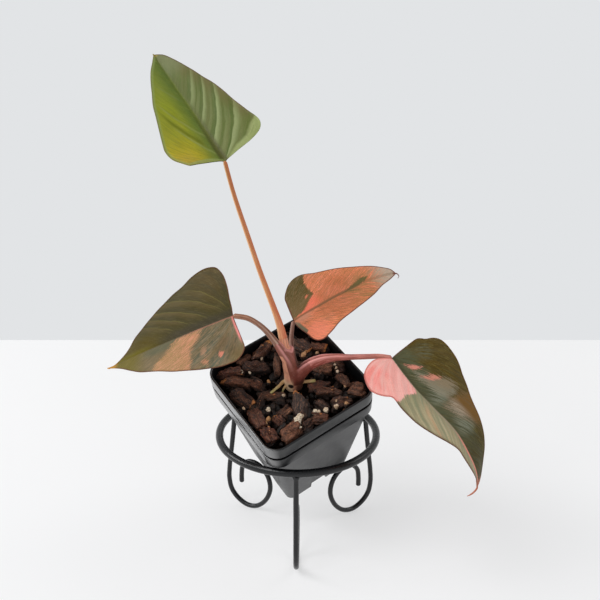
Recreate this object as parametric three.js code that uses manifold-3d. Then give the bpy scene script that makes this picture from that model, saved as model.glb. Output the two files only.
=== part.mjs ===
import * as THREE from 'three';
import { mergeVertices } from 'three/addons/utils/BufferGeometryUtils.js';
import ManifoldModule from 'manifold-3d';

// A young pink-variegated homalomena in a square nursery pot, tipped forward in a small wire stand.
// Millimetres, +Z up. The front of the plant faces -Y, and +X is to its right.

const wasm = await ManifoldModule();
wasm.setup();

const degree = Math.PI / 180;
const clearance = 0.3;
const stemGap = 0.36;

// Wire stand: a ring on three legs that each end in a scroll, measured from the ring's own axis.
const ringRadius = 46;
const ringWireRadius = 2.2;
const ringHeight = 64.6;
const legWireRadius = 1.5;
const footWear = 0.15;
// Radius from the ring's axis and height, down the leg and round the scroll to the cut end.
const legRoute = [
  [46.2, 62.1], [47.2, 54], [49.2, 39], [51.2, 25], [51.6, 17], [49.9, 9.5], [45, 4.2], [38, 1.5],
  [30.9, 3], [24.1, 9.6], [20.8, 19], [22.9, 27.6], [29.1, 33], [36.5, 33.4], [40.9, 29], [42, 23],
  [42.1, 17.2],
];
// Angle of the weld round the ring, and how far the leg's plane is turned off the radius there.
const legs = [
  { name: 'stand_leg_front', angle: -91 * degree, turn: 0 },
  { name: 'stand_leg_rear_right', angle: 26.1 * degree, turn: 5.9 * degree },
  { name: 'stand_leg_rear_left', angle: 148 * degree, turn: 2 * degree },
];

// Square pot. Its own frame has the origin at the middle of the rim, +Z out of the mouth.
const potPlace = new THREE.Vector3(-4.3, -16.6, 106.2);
const potTilt = 29 * degree;
const potLean = -3.9 * degree;
const potTurn = (45 - 12.5) * degree;
const rimSide = 70;
const rimCorner = 9;
const upperBand = 8.2;
const grooveHeight = 1.3;
const grooveDepth = 0.7;
const bandHeight = 18;
const bandTaper = 0.3;
const rimEase = 0.5;
const mouthTaper = 0.5;
const bodyStep = 1.8;
const bodyCorner = 7.5;
const baseSide = 42.4;
const baseCorner = 4;
const potDepth = 83.5;
const wall = 1.2;
const skirtHeight = 6.5;
const notchWidth = 11;
const drainRadius = 3;
const drainSpread = 11;

// Bark mix, in the pot's frame.
const mixLevel = -9;
const chipRootDepth = 2;
const crownPlace = new THREE.Vector2(2.4, -0.4);
const crownDepth = 16;
const crownRise = 2.5;
const crownRootRadius = 3.4;
const hollowRadius = 7.2;
const hollowDepth = 1.8;

// Bark chips that show, each by its middle, length and width, heading, rise of its far end, and top.
const chips = [
  { at: [-0.4, 29.2], size: [16, 6], heading: 17, tip: 14, top: -1.5 },
  { at: [-9, 22.5], size: [16, 5.5], heading: -33, tip: 0, top: -3 },
  { at: [-23.5, 27.5], size: [15, 6], heading: -23, tip: 0, top: -1.5 },
  { at: [-22.8, 20], size: [19, 7.5], heading: -46, tip: 5, top: -2 },
  { at: [-27.2, 8.3], size: [15, 9], heading: -72, tip: -8, top: -2 },
  { at: [-13.3, 1.2], size: [17, 5], heading: -46, tip: 0, top: -4 },
  { at: [2.8, 18], size: [19, 4], heading: 61, tip: -8, top: -3.5 },
  { at: [-3.6, -13.2], size: [17, 9.5], heading: 52, tip: 12, top: -1.5 },
  { at: [15, -16.8], size: [14, 5], heading: -40, tip: 4, top: -3 },
  { at: [12.5, -9.6], size: [12, 5], heading: -18, tip: -6, top: -4 },
  { at: [20.7, -0.6], size: [13, 8], heading: -61, tip: 6, top: -2.5 },
  { at: [20.6, 19.3], size: [13, 7], heading: -75, tip: 0, top: -3 },
  { at: [28.4, 12.6], size: [10, 6], heading: -58, tip: 0, top: -3 },
  { at: [-26.5, -7.3], size: [16, 7.5], heading: 82, tip: -4, top: -2 },
  { at: [-27, -20.4], size: [9, 7], heading: 86, tip: 10, top: -2 },
  { at: [-17.2, -26.2], size: [12, 9], heading: 5, tip: 0, top: -1.5 },
  { at: [0.2, -27.4], size: [9.5, 7.5], heading: -41, tip: 0, top: -2.5 },
  { at: [-7.6, -27.6], size: [8, 5], heading: 14, tip: 0, top: -3.5 },
  { at: [25.4, -14.6], size: [12, 4.5], heading: -89, tip: 6, top: -2.5 },
  { at: [28.2, -25.4], size: [11, 8], heading: -50, tip: 0, top: -3 },
  { at: [-11.6, -12.4], size: [9, 6.5], heading: 15, tip: 0, top: -3.5 },
  { at: [-18.6, -15.4], size: [8, 6], heading: 87, tip: 0, top: -3.5 },
  { at: [29.4, -4], size: [10, 5.5], heading: -63, tip: 0, top: -3.5 },
  { at: [-14.6, 11.4], size: [10, 5.5], heading: -66, tip: 0, top: -4 },
  { at: [16.6, -26.6], size: [11, 5.5], heading: -20, tip: 0, top: -3 },
  { at: [12, 27], size: [14, 6], heading: 8, tip: 0, top: -3.5 },
  { at: [-11.5, 30], size: [9, 5], heading: 20, tip: 0, top: -3.5 },
  { at: [13.2, 8.4], size: [12, 5.5], heading: -30, tip: 0, top: -5 },
  { at: [6.6, -20.8], size: [8, 5.5], heading: -75, tip: 0, top: -4 },
  { at: [-20, 0.4], size: [9, 5], heading: 30, tip: 0, top: -4.5 },
];
const chipSides = 6;
const crumbCount = 26;
const crumbSize = [1.6, 2.8];
const crumbRise = 0.4;
// Perlite grains, by place and radius: each is a tall lump that stands between the chips.
const perlite = [
  [-8.7, -20.8, 2.6], [7.1, -24, 1.7], [0.6, -22, 1.6], [12.4, -21.6, 1.5], [-21.8, -11.6, 1.5],
  [-17.7, 16.8, 1.3], [-18.8, -5.8, 1.5], [-6.9, -3.6, 1.3], [17, 12.6, 1.6], [24.6, 5.8, 1.4],
];
const perliteTop = -2.5;

// Stems: the route of each petiole from the crown to its blade, with the radius at each point.
// Up to its joint, a place counted in route points, the stem is grown together with the crown.
// It is flat by this much wider than deep, and stops a little short of the blade.
const stems = [
  {
    name: 'petiole_tall', joint: 3.4, flat: 1, stop: 0.9,
    route: [
      [-1.9, -11.7, 99.6, 3.2], [-4.4, -15.2, 108.6, 3], [-6.2, -19.6, 121.4, 2.7],
      [-7.4, -22, 130.6, 2.5], [-9.6, -23.6, 141.6, 1.9], [-12.4, -24.9, 150.9, 1.6],
      [-19.2, -26.8, 171.6, 1.35], [-25, -27.6, 190.6, 1.25], [-31.6, -28, 212.6, 1.1],
      [-35.5, -28, 228.6, 1.05],
    ],
  },
  {
    name: 'petiole_left', joint: 3.8, flat: 1.35, stop: 1.2,
    route: [
      [-1.7, -12.3, 99.8, 3.2], [-3.2, -16.4, 108.4, 3.2], [-5.2, -22.6, 119.6, 2.8],
      [-8.2, -25.4, 126.4, 2.3], [-12.4, -25.2, 132.8, 1.6], [-17.6, -24.2, 138.9, 1.35],
      [-21.8, -23.4, 142.2, 1.3], [-26.6, -22.6, 144.6, 1.3], [-34.2, -22, 145.7, 1.25],
    ],
  },
  {
    name: 'petiole_back', joint: 1.2, flat: 1, stop: 1.4,
    route: [
      [-1.3, -10.6, 99.6, 2.8], [-1, -9.4, 109.6, 1.9], [-2.6, -7.6, 116.6, 1.5],
      [-3.6, -4, 124, 1.25], [-3.1, -0.6, 129.6, 1.15], [-2.3, 2, 133.5, 1.1],
    ],
  },
  {
    name: 'petiole_right', joint: 3, flat: 1.2, stop: 2.4,
    route: [
      [-1.4, -12.1, 99.8, 3.3], [0.2, -15.7, 107.4, 3.4], [3.6, -18.4, 113.2, 3],
      [8, -20.2, 117.4, 2.7], [13.6, -21.3, 120.2, 2.4], [20.2, -22.4, 121.8, 1.8],
      [28.2, -23.6, 122.6, 1.4], [36.4, -24.6, 123.3, 1.3], [44, -25.4, 123.8, 1.25],
      [50.4, -26, 123.2, 1.2],
    ],
  },
];
const stemSides = 8;
const stemStepsPerSpan = 3;
// Roots that leave the crown above the mix, by route and radius.
const roots = [
  [[-2.6, -14.2, 100.4, 1], [-5.2, -18, 102, 0.8], [-8.6, -22, 101, 0.75], [-12, -25.6, 99, 0.6]],
  [[-0.6, -13, 100.4, 1.1], [2.4, -15.4, 103.2, 1], [6.4, -16, 103.6, 0.9]],
];

// Blades. Each starts at its petiole and runs along a midrib that turns from its first heading and
// pitch by sweep and droop, more of it near the tip when curl is 2. Roll turns the face about the
// midrib, fold raises both halves from it, and arch bends them down again towards the edges.
// The outlines give the distance along the midrib and out from it, from the base lobe to the tip.
const bladeThickness = 0.7;
const blades = [
  {
    name: 'blade_tall', look: 'green', base: [-35.5, -28, 228.6], length: 84, heading: 115, pitch: 27,
    droop: -15, sweep: 25, curl: 1, roll: -19, twist: -10, fold: 24, arch: 0.38,
    right: [
      [0.2, 4.7], [1, 10.7], [1.8, 17], [4.2, 22.6], [8, 25.6], [13, 26], [21.3, 23.4],
      [31.3, 20.9], [48.6, 16.8], [68.4, 9.8], [79.6, 4.6],
    ],
    left: [
      [0.5, 5.4], [0, 12.2], [-1.4, 18.6], [2.5, 23.7], [6.8, 26.4], [13, 27.6], [20, 26.9],
      [40.6, 22.2], [58.2, 16.2], [73, 8.7], [79.6, 4],
    ],
  },
  {
    name: 'blade_left', look: 'olive', base: [-34.2, -22, 145.7], length: 76.5, heading: 178, pitch: -23,
    droop: 4, sweep: -3, curl: 1, roll: -46, twist: 20, fold: 13, arch: 0.31,
    right: [
      [-0.8, 4.4], [-1.5, 13], [-1.4, 23.2], [0.2, 28.1], [3.6, 32], [9, 33.6], [17.8, 32.3],
      [24.2, 29.4], [39, 23.3], [57.8, 11.2], [66, 3.9],
    ],
    left: [
      [-0.5, 4.1], [-2, 13], [-2.8, 20.6], [-1, 24.6], [3.6, 27.6], [12.3, 28], [26.8, 25],
      [43.3, 19.4], [55.9, 14], [68.8, 4.8], [73, 2.2],
    ],
  },
  {
    name: 'blade_back', look: 'coral', base: [-2.3, 2, 133.5], length: 64.5, heading: 7, pitch: 33,
    droop: 29, sweep: 6, curl: 2, roll: 17, twist: 17, fold: 12, arch: 0.31,
    right: [
      [0.2, 3.4], [2.4, 13.6], [4.2, 19.3], [5.8, 24.6], [8.6, 27.7], [12, 28], [17.8, 25.1],
      [27.4, 20.2], [41.4, 15], [53.9, 7.6], [60, 3.7],
    ],
    left: [
      [0.5, 4], [1, 14.3], [1.4, 19.6], [3.6, 24.8], [7.6, 29.2], [12, 30], [18.2, 27],
      [24.7, 22], [38.3, 15], [52.3, 8.4], [61, 3.4],
    ],
  },
  {
    name: 'blade_right', look: 'olive', base: [50.4, -26, 123.2], length: 85, heading: -53, pitch: -20,
    droop: 69, sweep: 35, curl: 2, roll: 5, twist: -3, fold: 13, arch: 0.38,
    right: [
      [-0.4, 2.6], [-1.6, 8], [-1.6, 12], [0.5, 18], [4.2, 23.8], [10, 28], [15.6, 28.6],
      [21.6, 24.4], [27, 22.2], [37.8, 21.6], [49.3, 16.6], [60.1, 9.6], [71.1, 6.3], [79, 3],
    ],
    left: [
      [-0.8, 5.2], [-3.3, 17.5], [-3, 23], [-0.8, 28.6], [3, 33.2], [9, 33.5], [17.1, 31.3],
      [32.2, 24.4], [47.9, 18.9], [59.9, 16.4], [72, 9.9], [82, 3.6],
    ],
  },
];
const edgeSteps = 13;
const halfSteps = 3;
// The rows across a blade fan out of its base up to this share of its edge, and then leave the
// midrib one by one, up to this share of its length.
const fanShare = 0.22;
const ribReach = 0.94;
const ribCrowding = 1.1;

const materials = {
  wire: { color: 0x1c1c1e, roughness: 0.5, metalness: 0.3 },
  pot: { color: 0x25272a, roughness: 0.45, metalness: 0 },
  mix: { color: 0x3a241b, roughness: 0.95, metalness: 0 },
  stem: { color: 0x9c5a4c, roughness: 0.55, metalness: 0 },
  green: { color: 0x67712f, roughness: 0.5, metalness: 0 },
  olive: { color: 0x5a5036, roughness: 0.5, metalness: 0 },
  coral: { color: 0xd9765a, roughness: 0.5, metalness: 0 },
};

const plant = new THREE.Group();

function addPart(parent, name, geometry, look) {
  const mesh = new THREE.Mesh(geometry, new THREE.MeshStandardMaterial(materials[look]));
  mesh.name = name;
  parent.add(mesh);
}

// Random numbers from 0 to 1 that are the same at each run.
function seeded(seed) {
  let state = seed;
  return () => {
    state = (state * 1664525 + 1013904223) % 4294967296;
    return state / 4294967296;
  };
}

function toSolid(geometry) {
  const bare = geometry.clone();
  bare.deleteAttribute('normal');
  bare.deleteAttribute('uv');
  const merged = mergeVertices(bare, 1e-4);
  return new wasm.Manifold(new wasm.Mesh({
    numProp: 3,
    vertProperties: Float32Array.from(merged.attributes.position.array),
    triVerts: Uint32Array.from(merged.index.array),
  }));
}

function toGeometry(solid) {
  const mesh = solid.getMesh();
  const geometry = new THREE.BufferGeometry();
  geometry.setAttribute('position', new THREE.BufferAttribute(mesh.vertProperties.slice(), 3));
  geometry.setIndex(new THREE.BufferAttribute(mesh.triVerts.slice(), 1));
  geometry.computeVertexNormals();
  return geometry;
}

function union(solids) {
  return solids.reduce((sum, solid) => sum.add(solid));
}

function fromTriangles(points, triangles) {
  const geometry = new THREE.BufferGeometry();
  geometry.setAttribute('position', new THREE.Float32BufferAttribute(points.flat(), 3));
  geometry.setIndex(triangles.flat());
  geometry.computeVertexNormals();
  return geometry;
}

// A closed body through rings with the same number of points, with a flat fan at both ends.
function loft(rings) {
  const count = rings[0].length;
  const points = rings.flat().map((point) => point.toArray());
  const triangles = [];
  for (let ring = 0; ring + 1 < rings.length; ring += 1) {
    for (let step = 0; step < count; step += 1) {
      const here = ring * count + step;
      const next = ring * count + (step + 1) % count;
      triangles.push([here, next, next + count], [here, next + count, here + count]);
    }
  }
  const last = (rings.length - 1) * count;
  for (let step = 1; step + 1 < count; step += 1) {
    triangles.push([0, step + 1, step], [last, last + step, last + step + 1]);
  }
  return fromTriangles(points, triangles);
}

// A square with rounded corners at one height, counter-clockwise from above.
function squareRing(side, corner, height, stepsPerCorner = 4) {
  const middles = [[1, 1], [-1, 1], [-1, -1], [1, -1]];
  const reach = side / 2 - corner;
  return middles.flatMap(([x, y], quarter) => {
    const points = [];
    for (let step = 0; step <= stepsPerCorner; step += 1) {
      const angle = (quarter + step / stepsPerCorner) * Math.PI / 2;
      const px = x * reach + corner * Math.cos(angle);
      const py = y * reach + corner * Math.sin(angle);
      points.push(new THREE.Vector3(px, py, height));
    }
    return points;
  });
}

// A stem whose radius follows its route, between two places given in route points.
function taperedStem({ route, flat }, from, to) {
  const curve = new THREE.CatmullRomCurve3(route.map(([x, y, z]) => new THREE.Vector3(x, y, z)));
  const spans = route.length - 1;
  const steps = Math.round((to - from) * stemStepsPerSpan);
  const rings = [];
  const across = new THREE.Vector3(1, 0, 0);
  for (let step = 0; step <= steps; step += 1) {
    const along = THREE.MathUtils.lerp(from, to, step / steps);
    const span = Math.min(Math.floor(along), spans - 1);
    const radius = THREE.MathUtils.lerp(route[span][3], route[span + 1][3], along - span);
    const middle = curve.getPoint(along / spans);
    const tangent = curve.getTangent(along / spans);
    across.addScaledVector(tangent, -across.dot(tangent)).normalize();
    const up = new THREE.Vector3().crossVectors(tangent, across);
    const ring = [];
    for (let side = 0; side < stemSides; side += 1) {
      const angle = side / stemSides * 2 * Math.PI;
      ring.push(middle.clone()
        .addScaledVector(across, radius * flat * Math.cos(angle))
        .addScaledVector(up, radius * Math.sin(angle)));
    }
    rings.push(ring);
  }
  return loft(rings);
}

// A short distance along a stem at one place, as a share of a span of its route.
function spanShare({ route }, place, distance) {
  const curve = new THREE.CatmullRomCurve3(route.map(([x, y, z]) => new THREE.Vector3(x, y, z)));
  const spans = route.length - 1;
  const probe = 0.05;
  const length = curve.getPoint((place - probe) / spans).distanceTo(curve.getPoint(place / spans));
  return distance / length * probe;
}

function wireRing() {
  const torus = new THREE.TorusGeometry(ringRadius, ringWireRadius, 10, 64);
  return torus.translate(0, 0, ringHeight);
}

function wireLeg({ angle, turn }) {
  const weld = new THREE.Vector2(Math.cos(angle), Math.sin(angle)).multiplyScalar(ringRadius);
  const route = legRoute.map(([radius, height]) => new THREE.Vector3(
    weld.x + (radius - ringRadius) * Math.cos(angle + turn),
    weld.y + (radius - ringRadius) * Math.sin(angle + turn),
    height - footWear,
  ));
  const section = new THREE.Shape().absarc(0, 0, legWireRadius, 0, 2 * Math.PI);
  const wire = new THREE.ExtrudeGeometry(section, {
    steps: 48, curveSegments: 4, extrudePath: new THREE.CatmullRomCurve3(route),
  });
  const floor = new THREE.BoxGeometry(200, 200, 10).translate(0, 0, -5);
  return toGeometry(toSolid(wire).subtract(toSolid(floor)));
}

// Side of the tapered body at a height in the pot's frame.
function bodySide(height) {
  const along = (height + potDepth) / (potDepth - bandHeight);
  return THREE.MathUtils.lerp(baseSide, rimSide - 2 * bodyStep, along);
}

function bodyRing(height, inset) {
  const along = (height + potDepth) / (potDepth - bandHeight);
  const corner = THREE.MathUtils.lerp(baseCorner, bodyCorner, along);
  return squareRing(bodySide(height) - 2 * inset, corner - inset / 2, height);
}

function potShell() {
  const grooveTop = -upperBand;
  const grooveBottom = -upperBand - grooveHeight;
  const floorUnder = -potDepth + skirtHeight;
  const profile = [
    bodyRing(floorUnder, wall),
    bodyRing(-potDepth, wall),
    bodyRing(-potDepth, 0),
    bodyRing(-bandHeight, 0),
    squareRing(rimSide - 2 * bandTaper, rimCorner, -bandHeight),
    squareRing(rimSide, rimCorner, grooveBottom),
    squareRing(rimSide - 2 * grooveDepth, rimCorner - grooveDepth, grooveBottom),
    squareRing(rimSide - 2 * grooveDepth, rimCorner - grooveDepth, grooveTop),
    squareRing(rimSide, rimCorner, grooveTop),
    squareRing(rimSide, rimCorner, -rimEase),
    squareRing(rimSide - rimEase, rimCorner - rimEase / 2, 0),
    squareRing(rimSide - 2 * wall, rimCorner - wall, 0),
    squareRing(rimSide - 2 * wall - 2 * mouthTaper, rimCorner - wall, -upperBand),
    bodyRing(-bandHeight, wall),
    bodyRing(floorUnder + wall, wall),
  ];
  const cuts = [];
  for (const turn of [0, 90]) {
    const notch = new THREE.BoxGeometry(notchWidth, 2 * baseSide, skirtHeight);
    notch.rotateZ(turn * degree);
    notch.translate(0, 0, -potDepth + skirtHeight / 2 - clearance);
    cuts.push(notch);
  }
  for (const [x, y] of [[0, 0], [1, 1], [-1, 1], [-1, -1], [1, -1]]) {
    const drain = new THREE.CylinderGeometry(drainRadius, drainRadius, 4 * wall, 10);
    drain.rotateX(Math.PI / 2);
    drain.translate(x * drainSpread, y * drainSpread, floorUnder);
    cuts.push(drain);
  }
  return toGeometry(cuts.reduce((shell, cut) => shell.subtract(toSolid(cut)), toSolid(loft(profile))));
}

// A bark chip: a six-sided block, longer than wide, that stands in the mix.
function barkChip({ at, size, heading, tip, top }) {
  const [length, width] = size;
  const depth = top - mixLevel + chipRootDepth;
  const slab = new THREE.CylinderGeometry(0.8, 1, depth, chipSides);
  slab.rotateX(Math.PI / 2);
  slab.scale(length / 2, width / 2 / Math.cos(Math.PI / chipSides), 1);
  slab.rotateY(-tip * degree);
  slab.rotateZ(heading * degree);
  return slab.translate(at[0], at[1], top - depth / 2);
}

function barkMix() {
  const inset = wall + clearance;
  const floorTop = -potDepth + skirtHeight + wall + clearance;
  const mouthSide = rimSide - 2 * inset;
  const neckSide = mouthSide - 2 * mouthTaper;
  const bulk = loft([
    bodyRing(floorTop, inset),
    bodyRing(-bandHeight, inset),
    squareRing(neckSide, rimCorner - inset, mixLevel),
  ]);
  const room = loft([
    bodyRing(floorTop, inset),
    bodyRing(-bandHeight, inset),
    squareRing(neckSide, rimCorner - inset, -upperBand),
    squareRing(mouthSide, rimCorner - inset, 0),
  ]);
  const pieces = [toSolid(bulk), ...chips.map((chip) => toSolid(barkChip(chip)))];
  const random = seeded(7);
  const reach = rimSide / 2 - rimCorner;
  for (let crumb = 0; crumb < crumbCount; crumb += 1) {
    const x = (random() * 2 - 1) * reach;
    const y = (random() * 2 - 1) * reach;
    const radius = THREE.MathUtils.lerp(crumbSize[0], crumbSize[1], random());
    const lump = new THREE.IcosahedronGeometry(radius, 0).rotateZ(random() * Math.PI);
    pieces.push(toSolid(lump.translate(x, y, mixLevel + crumbRise * radius)));
  }
  for (const [x, y, radius] of perlite) {
    const half = (perliteTop - mixLevel + chipRootDepth) / 2;
    const grain = new THREE.IcosahedronGeometry(1, 0).scale(radius, radius, half);
    pieces.push(toSolid(grain.translate(x, y, perliteTop - half)));
  }
  return union(pieces).intersect(toSolid(room)).subtract(crownHole());
}

// An upright cylinder at the crown, in the pot's frame.
function crownCylinder(radius, low, high, sides) {
  const cylinder = new THREE.CylinderGeometry(radius, radius, high - low, sides);
  cylinder.rotateX(Math.PI / 2);
  return cylinder.translate(crownPlace.x, crownPlace.y, (low + high) / 2);
}

// A plain hole for the crown's foot, below a shallow hollow that its stems lean out over.
function crownHole() {
  const hole = crownCylinder(crownRootRadius + clearance, mixLevel - crownDepth - clearance, 0, 12);
  const hollow = crownCylinder(hollowRadius, mixLevel - hollowDepth, 0, 16);
  return toSolid(hole).add(toSolid(hollow));
}

// Turns the pot's frame into the stand's.
const potFrame = new THREE.Group();
potFrame.position.copy(potPlace);
potFrame.rotation.set(potTilt, potLean, potTurn, 'YXZ');
potFrame.updateMatrixWorld();

// The crown: its foot in the mix, the lower stems grown together, and the roots that show.
function crown() {
  const foot = crownCylinder(crownRootRadius, mixLevel - crownDepth, mixLevel + crownRise, 12);
  const bases = stems.map((stem) => toSolid(taperedStem(stem, 0, stem.joint)));
  const strands = roots.map((route) => toSolid(taperedStem({ route, flat: 1 }, 0, route.length - 1)));
  return union([toSolid(foot.applyMatrix4(potFrame.matrixWorld)), ...bases, ...strands]);
}

// Blade surface, by the distance along the midrib and out from it, positive to the right.
function bladeSurface(blade) {
  const steps = 48;
  const base = new THREE.Vector3(...blade.base);
  const bend = (along) => Math.max(along / blade.length, 0) ** blade.curl;
  const tangentAt = (along) => {
    const pitch = (blade.pitch - blade.droop * bend(along)) * degree;
    const heading = (blade.heading + blade.sweep * bend(along)) * degree;
    return new THREE.Vector3(
      Math.cos(pitch) * Math.cos(heading),
      Math.cos(pitch) * Math.sin(heading),
      Math.sin(pitch),
    );
  };
  const midrib = (along) => {
    const point = base.clone();
    for (let step = 0; step < steps; step += 1) {
      point.addScaledVector(tangentAt(along * (step + 0.5) / steps), along / steps);
    }
    return point;
  };
  return (along, out) => {
    const heading = (blade.heading + blade.sweep * bend(along)) * degree;
    const roll = (blade.roll + blade.twist * Math.max(along / blade.length, 0)) * degree;
    const tangent = tangentAt(along);
    const level = new THREE.Vector3(Math.sin(heading), -Math.cos(heading), 0);
    const raised = new THREE.Vector3().crossVectors(level, tangent);
    const side = level.clone().multiplyScalar(Math.cos(roll)).addScaledVector(raised, -Math.sin(roll));
    const face = raised.clone().multiplyScalar(Math.cos(roll)).addScaledVector(level, Math.sin(roll));
    const rise = Math.abs(out) * Math.sin(blade.fold * degree);
    const sag = blade.arch * out * out / blade.length;
    return midrib(along)
      .addScaledVector(side, out * Math.cos(blade.fold * degree))
      .addScaledVector(face, rise - sag);
  };
}

// Rows of points from the midrib to one edge, along the lines that the side veins take.
function bladeRows(blade, outline, sign) {
  const points = [[0, 0], ...outline, [blade.length, 0]];
  const edge = new THREE.SplineCurve(points.map(([along, out]) => new THREE.Vector2(along, out)));
  const rows = [];
  for (let step = 1; step < edgeSteps; step += 1) {
    const rim = edge.getPointAt(step / edgeSteps);
    const pastFan = Math.max(0, (step / edgeSteps - fanShare) / (1 - fanShare));
    const start = pastFan ** ribCrowding * ribReach * blade.length;
    const row = [];
    for (let part = 0; part <= halfSteps; part += 1) {
      const share = part / halfSteps;
      const along = THREE.MathUtils.lerp(start, rim.x, share);
      row.push([along, sign * THREE.MathUtils.lerp(0, rim.y, share)]);
    }
    rows.push(row);
  }
  return rows;
}

function bladeGeometry(blade) {
  const surface = bladeSurface(blade);
  const half = bladeThickness / 2;
  const points = [];
  const triangles = [];
  const known = new Map();
  const pointAt = (along, out) => {
    const key = `${along.toFixed(4)} ${out.toFixed(4)}`;
    if (!known.has(key)) {
      const nudge = 0.2;
      const middle = surface(along, out);
      const ahead = surface(along + nudge, out).sub(surface(along - nudge, out));
      const beside = surface(along, out + nudge).sub(surface(along, out - nudge));
      const normal = beside.cross(ahead).normalize().multiplyScalar(half);
      known.set(key, points.length);
      points.push(middle.clone().add(normal).toArray(), middle.clone().sub(normal).toArray());
    }
    return known.get(key);
  };
  const addTriangle = (a, b, c) => {
    if (a !== b && b !== c && c !== a) {
      triangles.push([a, b, c], [a + 1, c + 1, b + 1]);
    }
  };
  const addEdge = (a, b) => triangles.push([a, a + 1, b + 1], [a, b + 1, b]);
  for (const [outline, sign] of [[blade.right, 1], [blade.left, -1]]) {
    const rows = bladeRows(blade, outline, sign);
    const order = (a, b, c) => (sign > 0 ? addTriangle(a, c, b) : addTriangle(a, b, c));
    const tip = pointAt(blade.length, 0);
    const first = rows[0].map(([along, out]) => pointAt(along, out));
    let before = first;
    for (const row of rows.slice(1)) {
      const now = row.map(([along, out]) => pointAt(along, out));
      for (let part = 0; part < halfSteps; part += 1) {
        order(before[part], now[part], now[part + 1]);
        order(before[part], now[part + 1], before[part + 1]);
      }
      before = now;
    }
    for (let part = 0; part < halfSteps; part += 1) {
      order(before[part], tip, before[part + 1]);
    }
    const rim = [...first, ...rows.slice(1).map((row) => pointAt(...row[halfSteps])), tip];
    for (let step = 0; step + 1 < rim.length; step += 1) {
      if (sign > 0) {
        addEdge(rim[step], rim[step + 1]);
      } else {
        addEdge(rim[step + 1], rim[step]);
      }
    }
  }
  return fromTriangles(points, triangles);
}

// Assembly
addPart(plant, 'stand_ring', wireRing(), 'wire');
legs.forEach((leg) => addPart(plant, leg.name, wireLeg(leg), 'wire'));

addPart(potFrame, 'pot', potShell(), 'pot');
addPart(potFrame, 'bark_mix', toGeometry(barkMix()), 'mix');
plant.add(potFrame);

addPart(plant, 'crown', toGeometry(crown()), 'stem');
stems.forEach((stem) => {
  const from = stem.joint + spanShare(stem, stem.joint, stemGap);
  const end = stem.route.length - 1;
  const to = end - spanShare(stem, end, stem.stop);
  addPart(plant, stem.name, taperedStem(stem, from, to), 'stem');
});
blades.forEach((blade) => addPart(plant, blade.name, bladeGeometry(blade), blade.look));

// The origin is below the middle of the whole, on the surface that the feet stand on.
plant.updateMatrixWorld(true);
const extent = new THREE.Box3().setFromObject(plant, true);
const middle = extent.getCenter(new THREE.Vector3());
plant.position.set(-middle.x, -middle.y, -extent.min.z);

export default plant;
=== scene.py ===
import math

import bmesh
import bpy
import numpy as np
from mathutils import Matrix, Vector, noise
from mathutils.kdtree import KDTree


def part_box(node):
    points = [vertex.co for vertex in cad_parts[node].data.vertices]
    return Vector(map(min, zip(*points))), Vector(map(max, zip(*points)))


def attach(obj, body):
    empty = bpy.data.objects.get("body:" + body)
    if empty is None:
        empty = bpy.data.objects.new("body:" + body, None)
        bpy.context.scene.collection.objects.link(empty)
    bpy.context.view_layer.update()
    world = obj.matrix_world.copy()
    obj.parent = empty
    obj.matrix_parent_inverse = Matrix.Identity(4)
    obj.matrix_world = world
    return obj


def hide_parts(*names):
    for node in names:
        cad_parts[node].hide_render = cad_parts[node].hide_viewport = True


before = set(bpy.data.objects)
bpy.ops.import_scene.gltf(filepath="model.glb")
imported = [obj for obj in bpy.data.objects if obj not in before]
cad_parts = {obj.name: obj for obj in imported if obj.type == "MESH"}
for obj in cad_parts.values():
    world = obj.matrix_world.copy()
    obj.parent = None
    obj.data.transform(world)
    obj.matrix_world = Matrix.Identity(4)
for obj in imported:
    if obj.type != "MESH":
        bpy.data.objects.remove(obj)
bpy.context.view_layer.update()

# A young pink-variegated homalomena in a square nursery pot, tipped forward in a small wire stand.
# Lengths are in millimetres from the axis of the stand's ring, until place() turns them into the
# frame's metres. The front of the plant faces -Y.
MM = 0.001
ring_low, ring_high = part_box("stand_ring")
RING_AXIS = np.array([(ring_low.x + ring_high.x) / 2, (ring_low.y + ring_high.y) / 2, 0]) / MM

RING_RADIUS = 46
RING_WIRE = 2.2
RING_HEIGHT = 64.6
RING_STEPS = 168
RING_SIDES = 24
LEG_WIRE = 1.5
LEG_STEPS = 190
LEG_SIDES = 20
WELD_SWELL = 0.75
WELD_LENGTH = 3.2
CUT_EDGE = 0.3
CUT_LENGTH = 0.5
FOOT_WEAR = 0.15
# Radius from the ring's axis and height, down the leg and round the scroll to the cut end.
LEG_ROUTE = [
    (46.1, 63.2), (47.2, 54), (49.2, 39), (51.2, 25), (51.6, 17), (49.9, 9.5), (45, 4.2), (38, 1.5),
    (30.9, 3), (24.1, 9.6), (20.8, 19), (22.9, 27.6), (29.1, 33), (36.5, 33.4), (40.9, 29), (42, 23),
    (42.1, 17.2),
]
# Each leg's node, its place round the ring and its turn away from the ring's radius, in degrees.
LEGS = [
    ("stand_leg_front", -91, 0),
    ("stand_leg_rear_right", 26.1, 5.9),
    ("stand_leg_rear_left", 148, 2),
]

# The pot's own frame has its origin in the middle of the rim, and its Z along the pot's axis.
POT_PLACE = np.array([-4.3, -16.6, 106.2])
POT_TILT = math.radians(29)
POT_LEAN = math.radians(-3.9)
POT_TURN = math.radians(45 - 12.5)
RIM_SIDE = 70
RIM_CORNER = 9
UPPER_BAND = 7.9
GROOVE_HEIGHT = 2
GROOVE_DEPTH = 0.7
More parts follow.
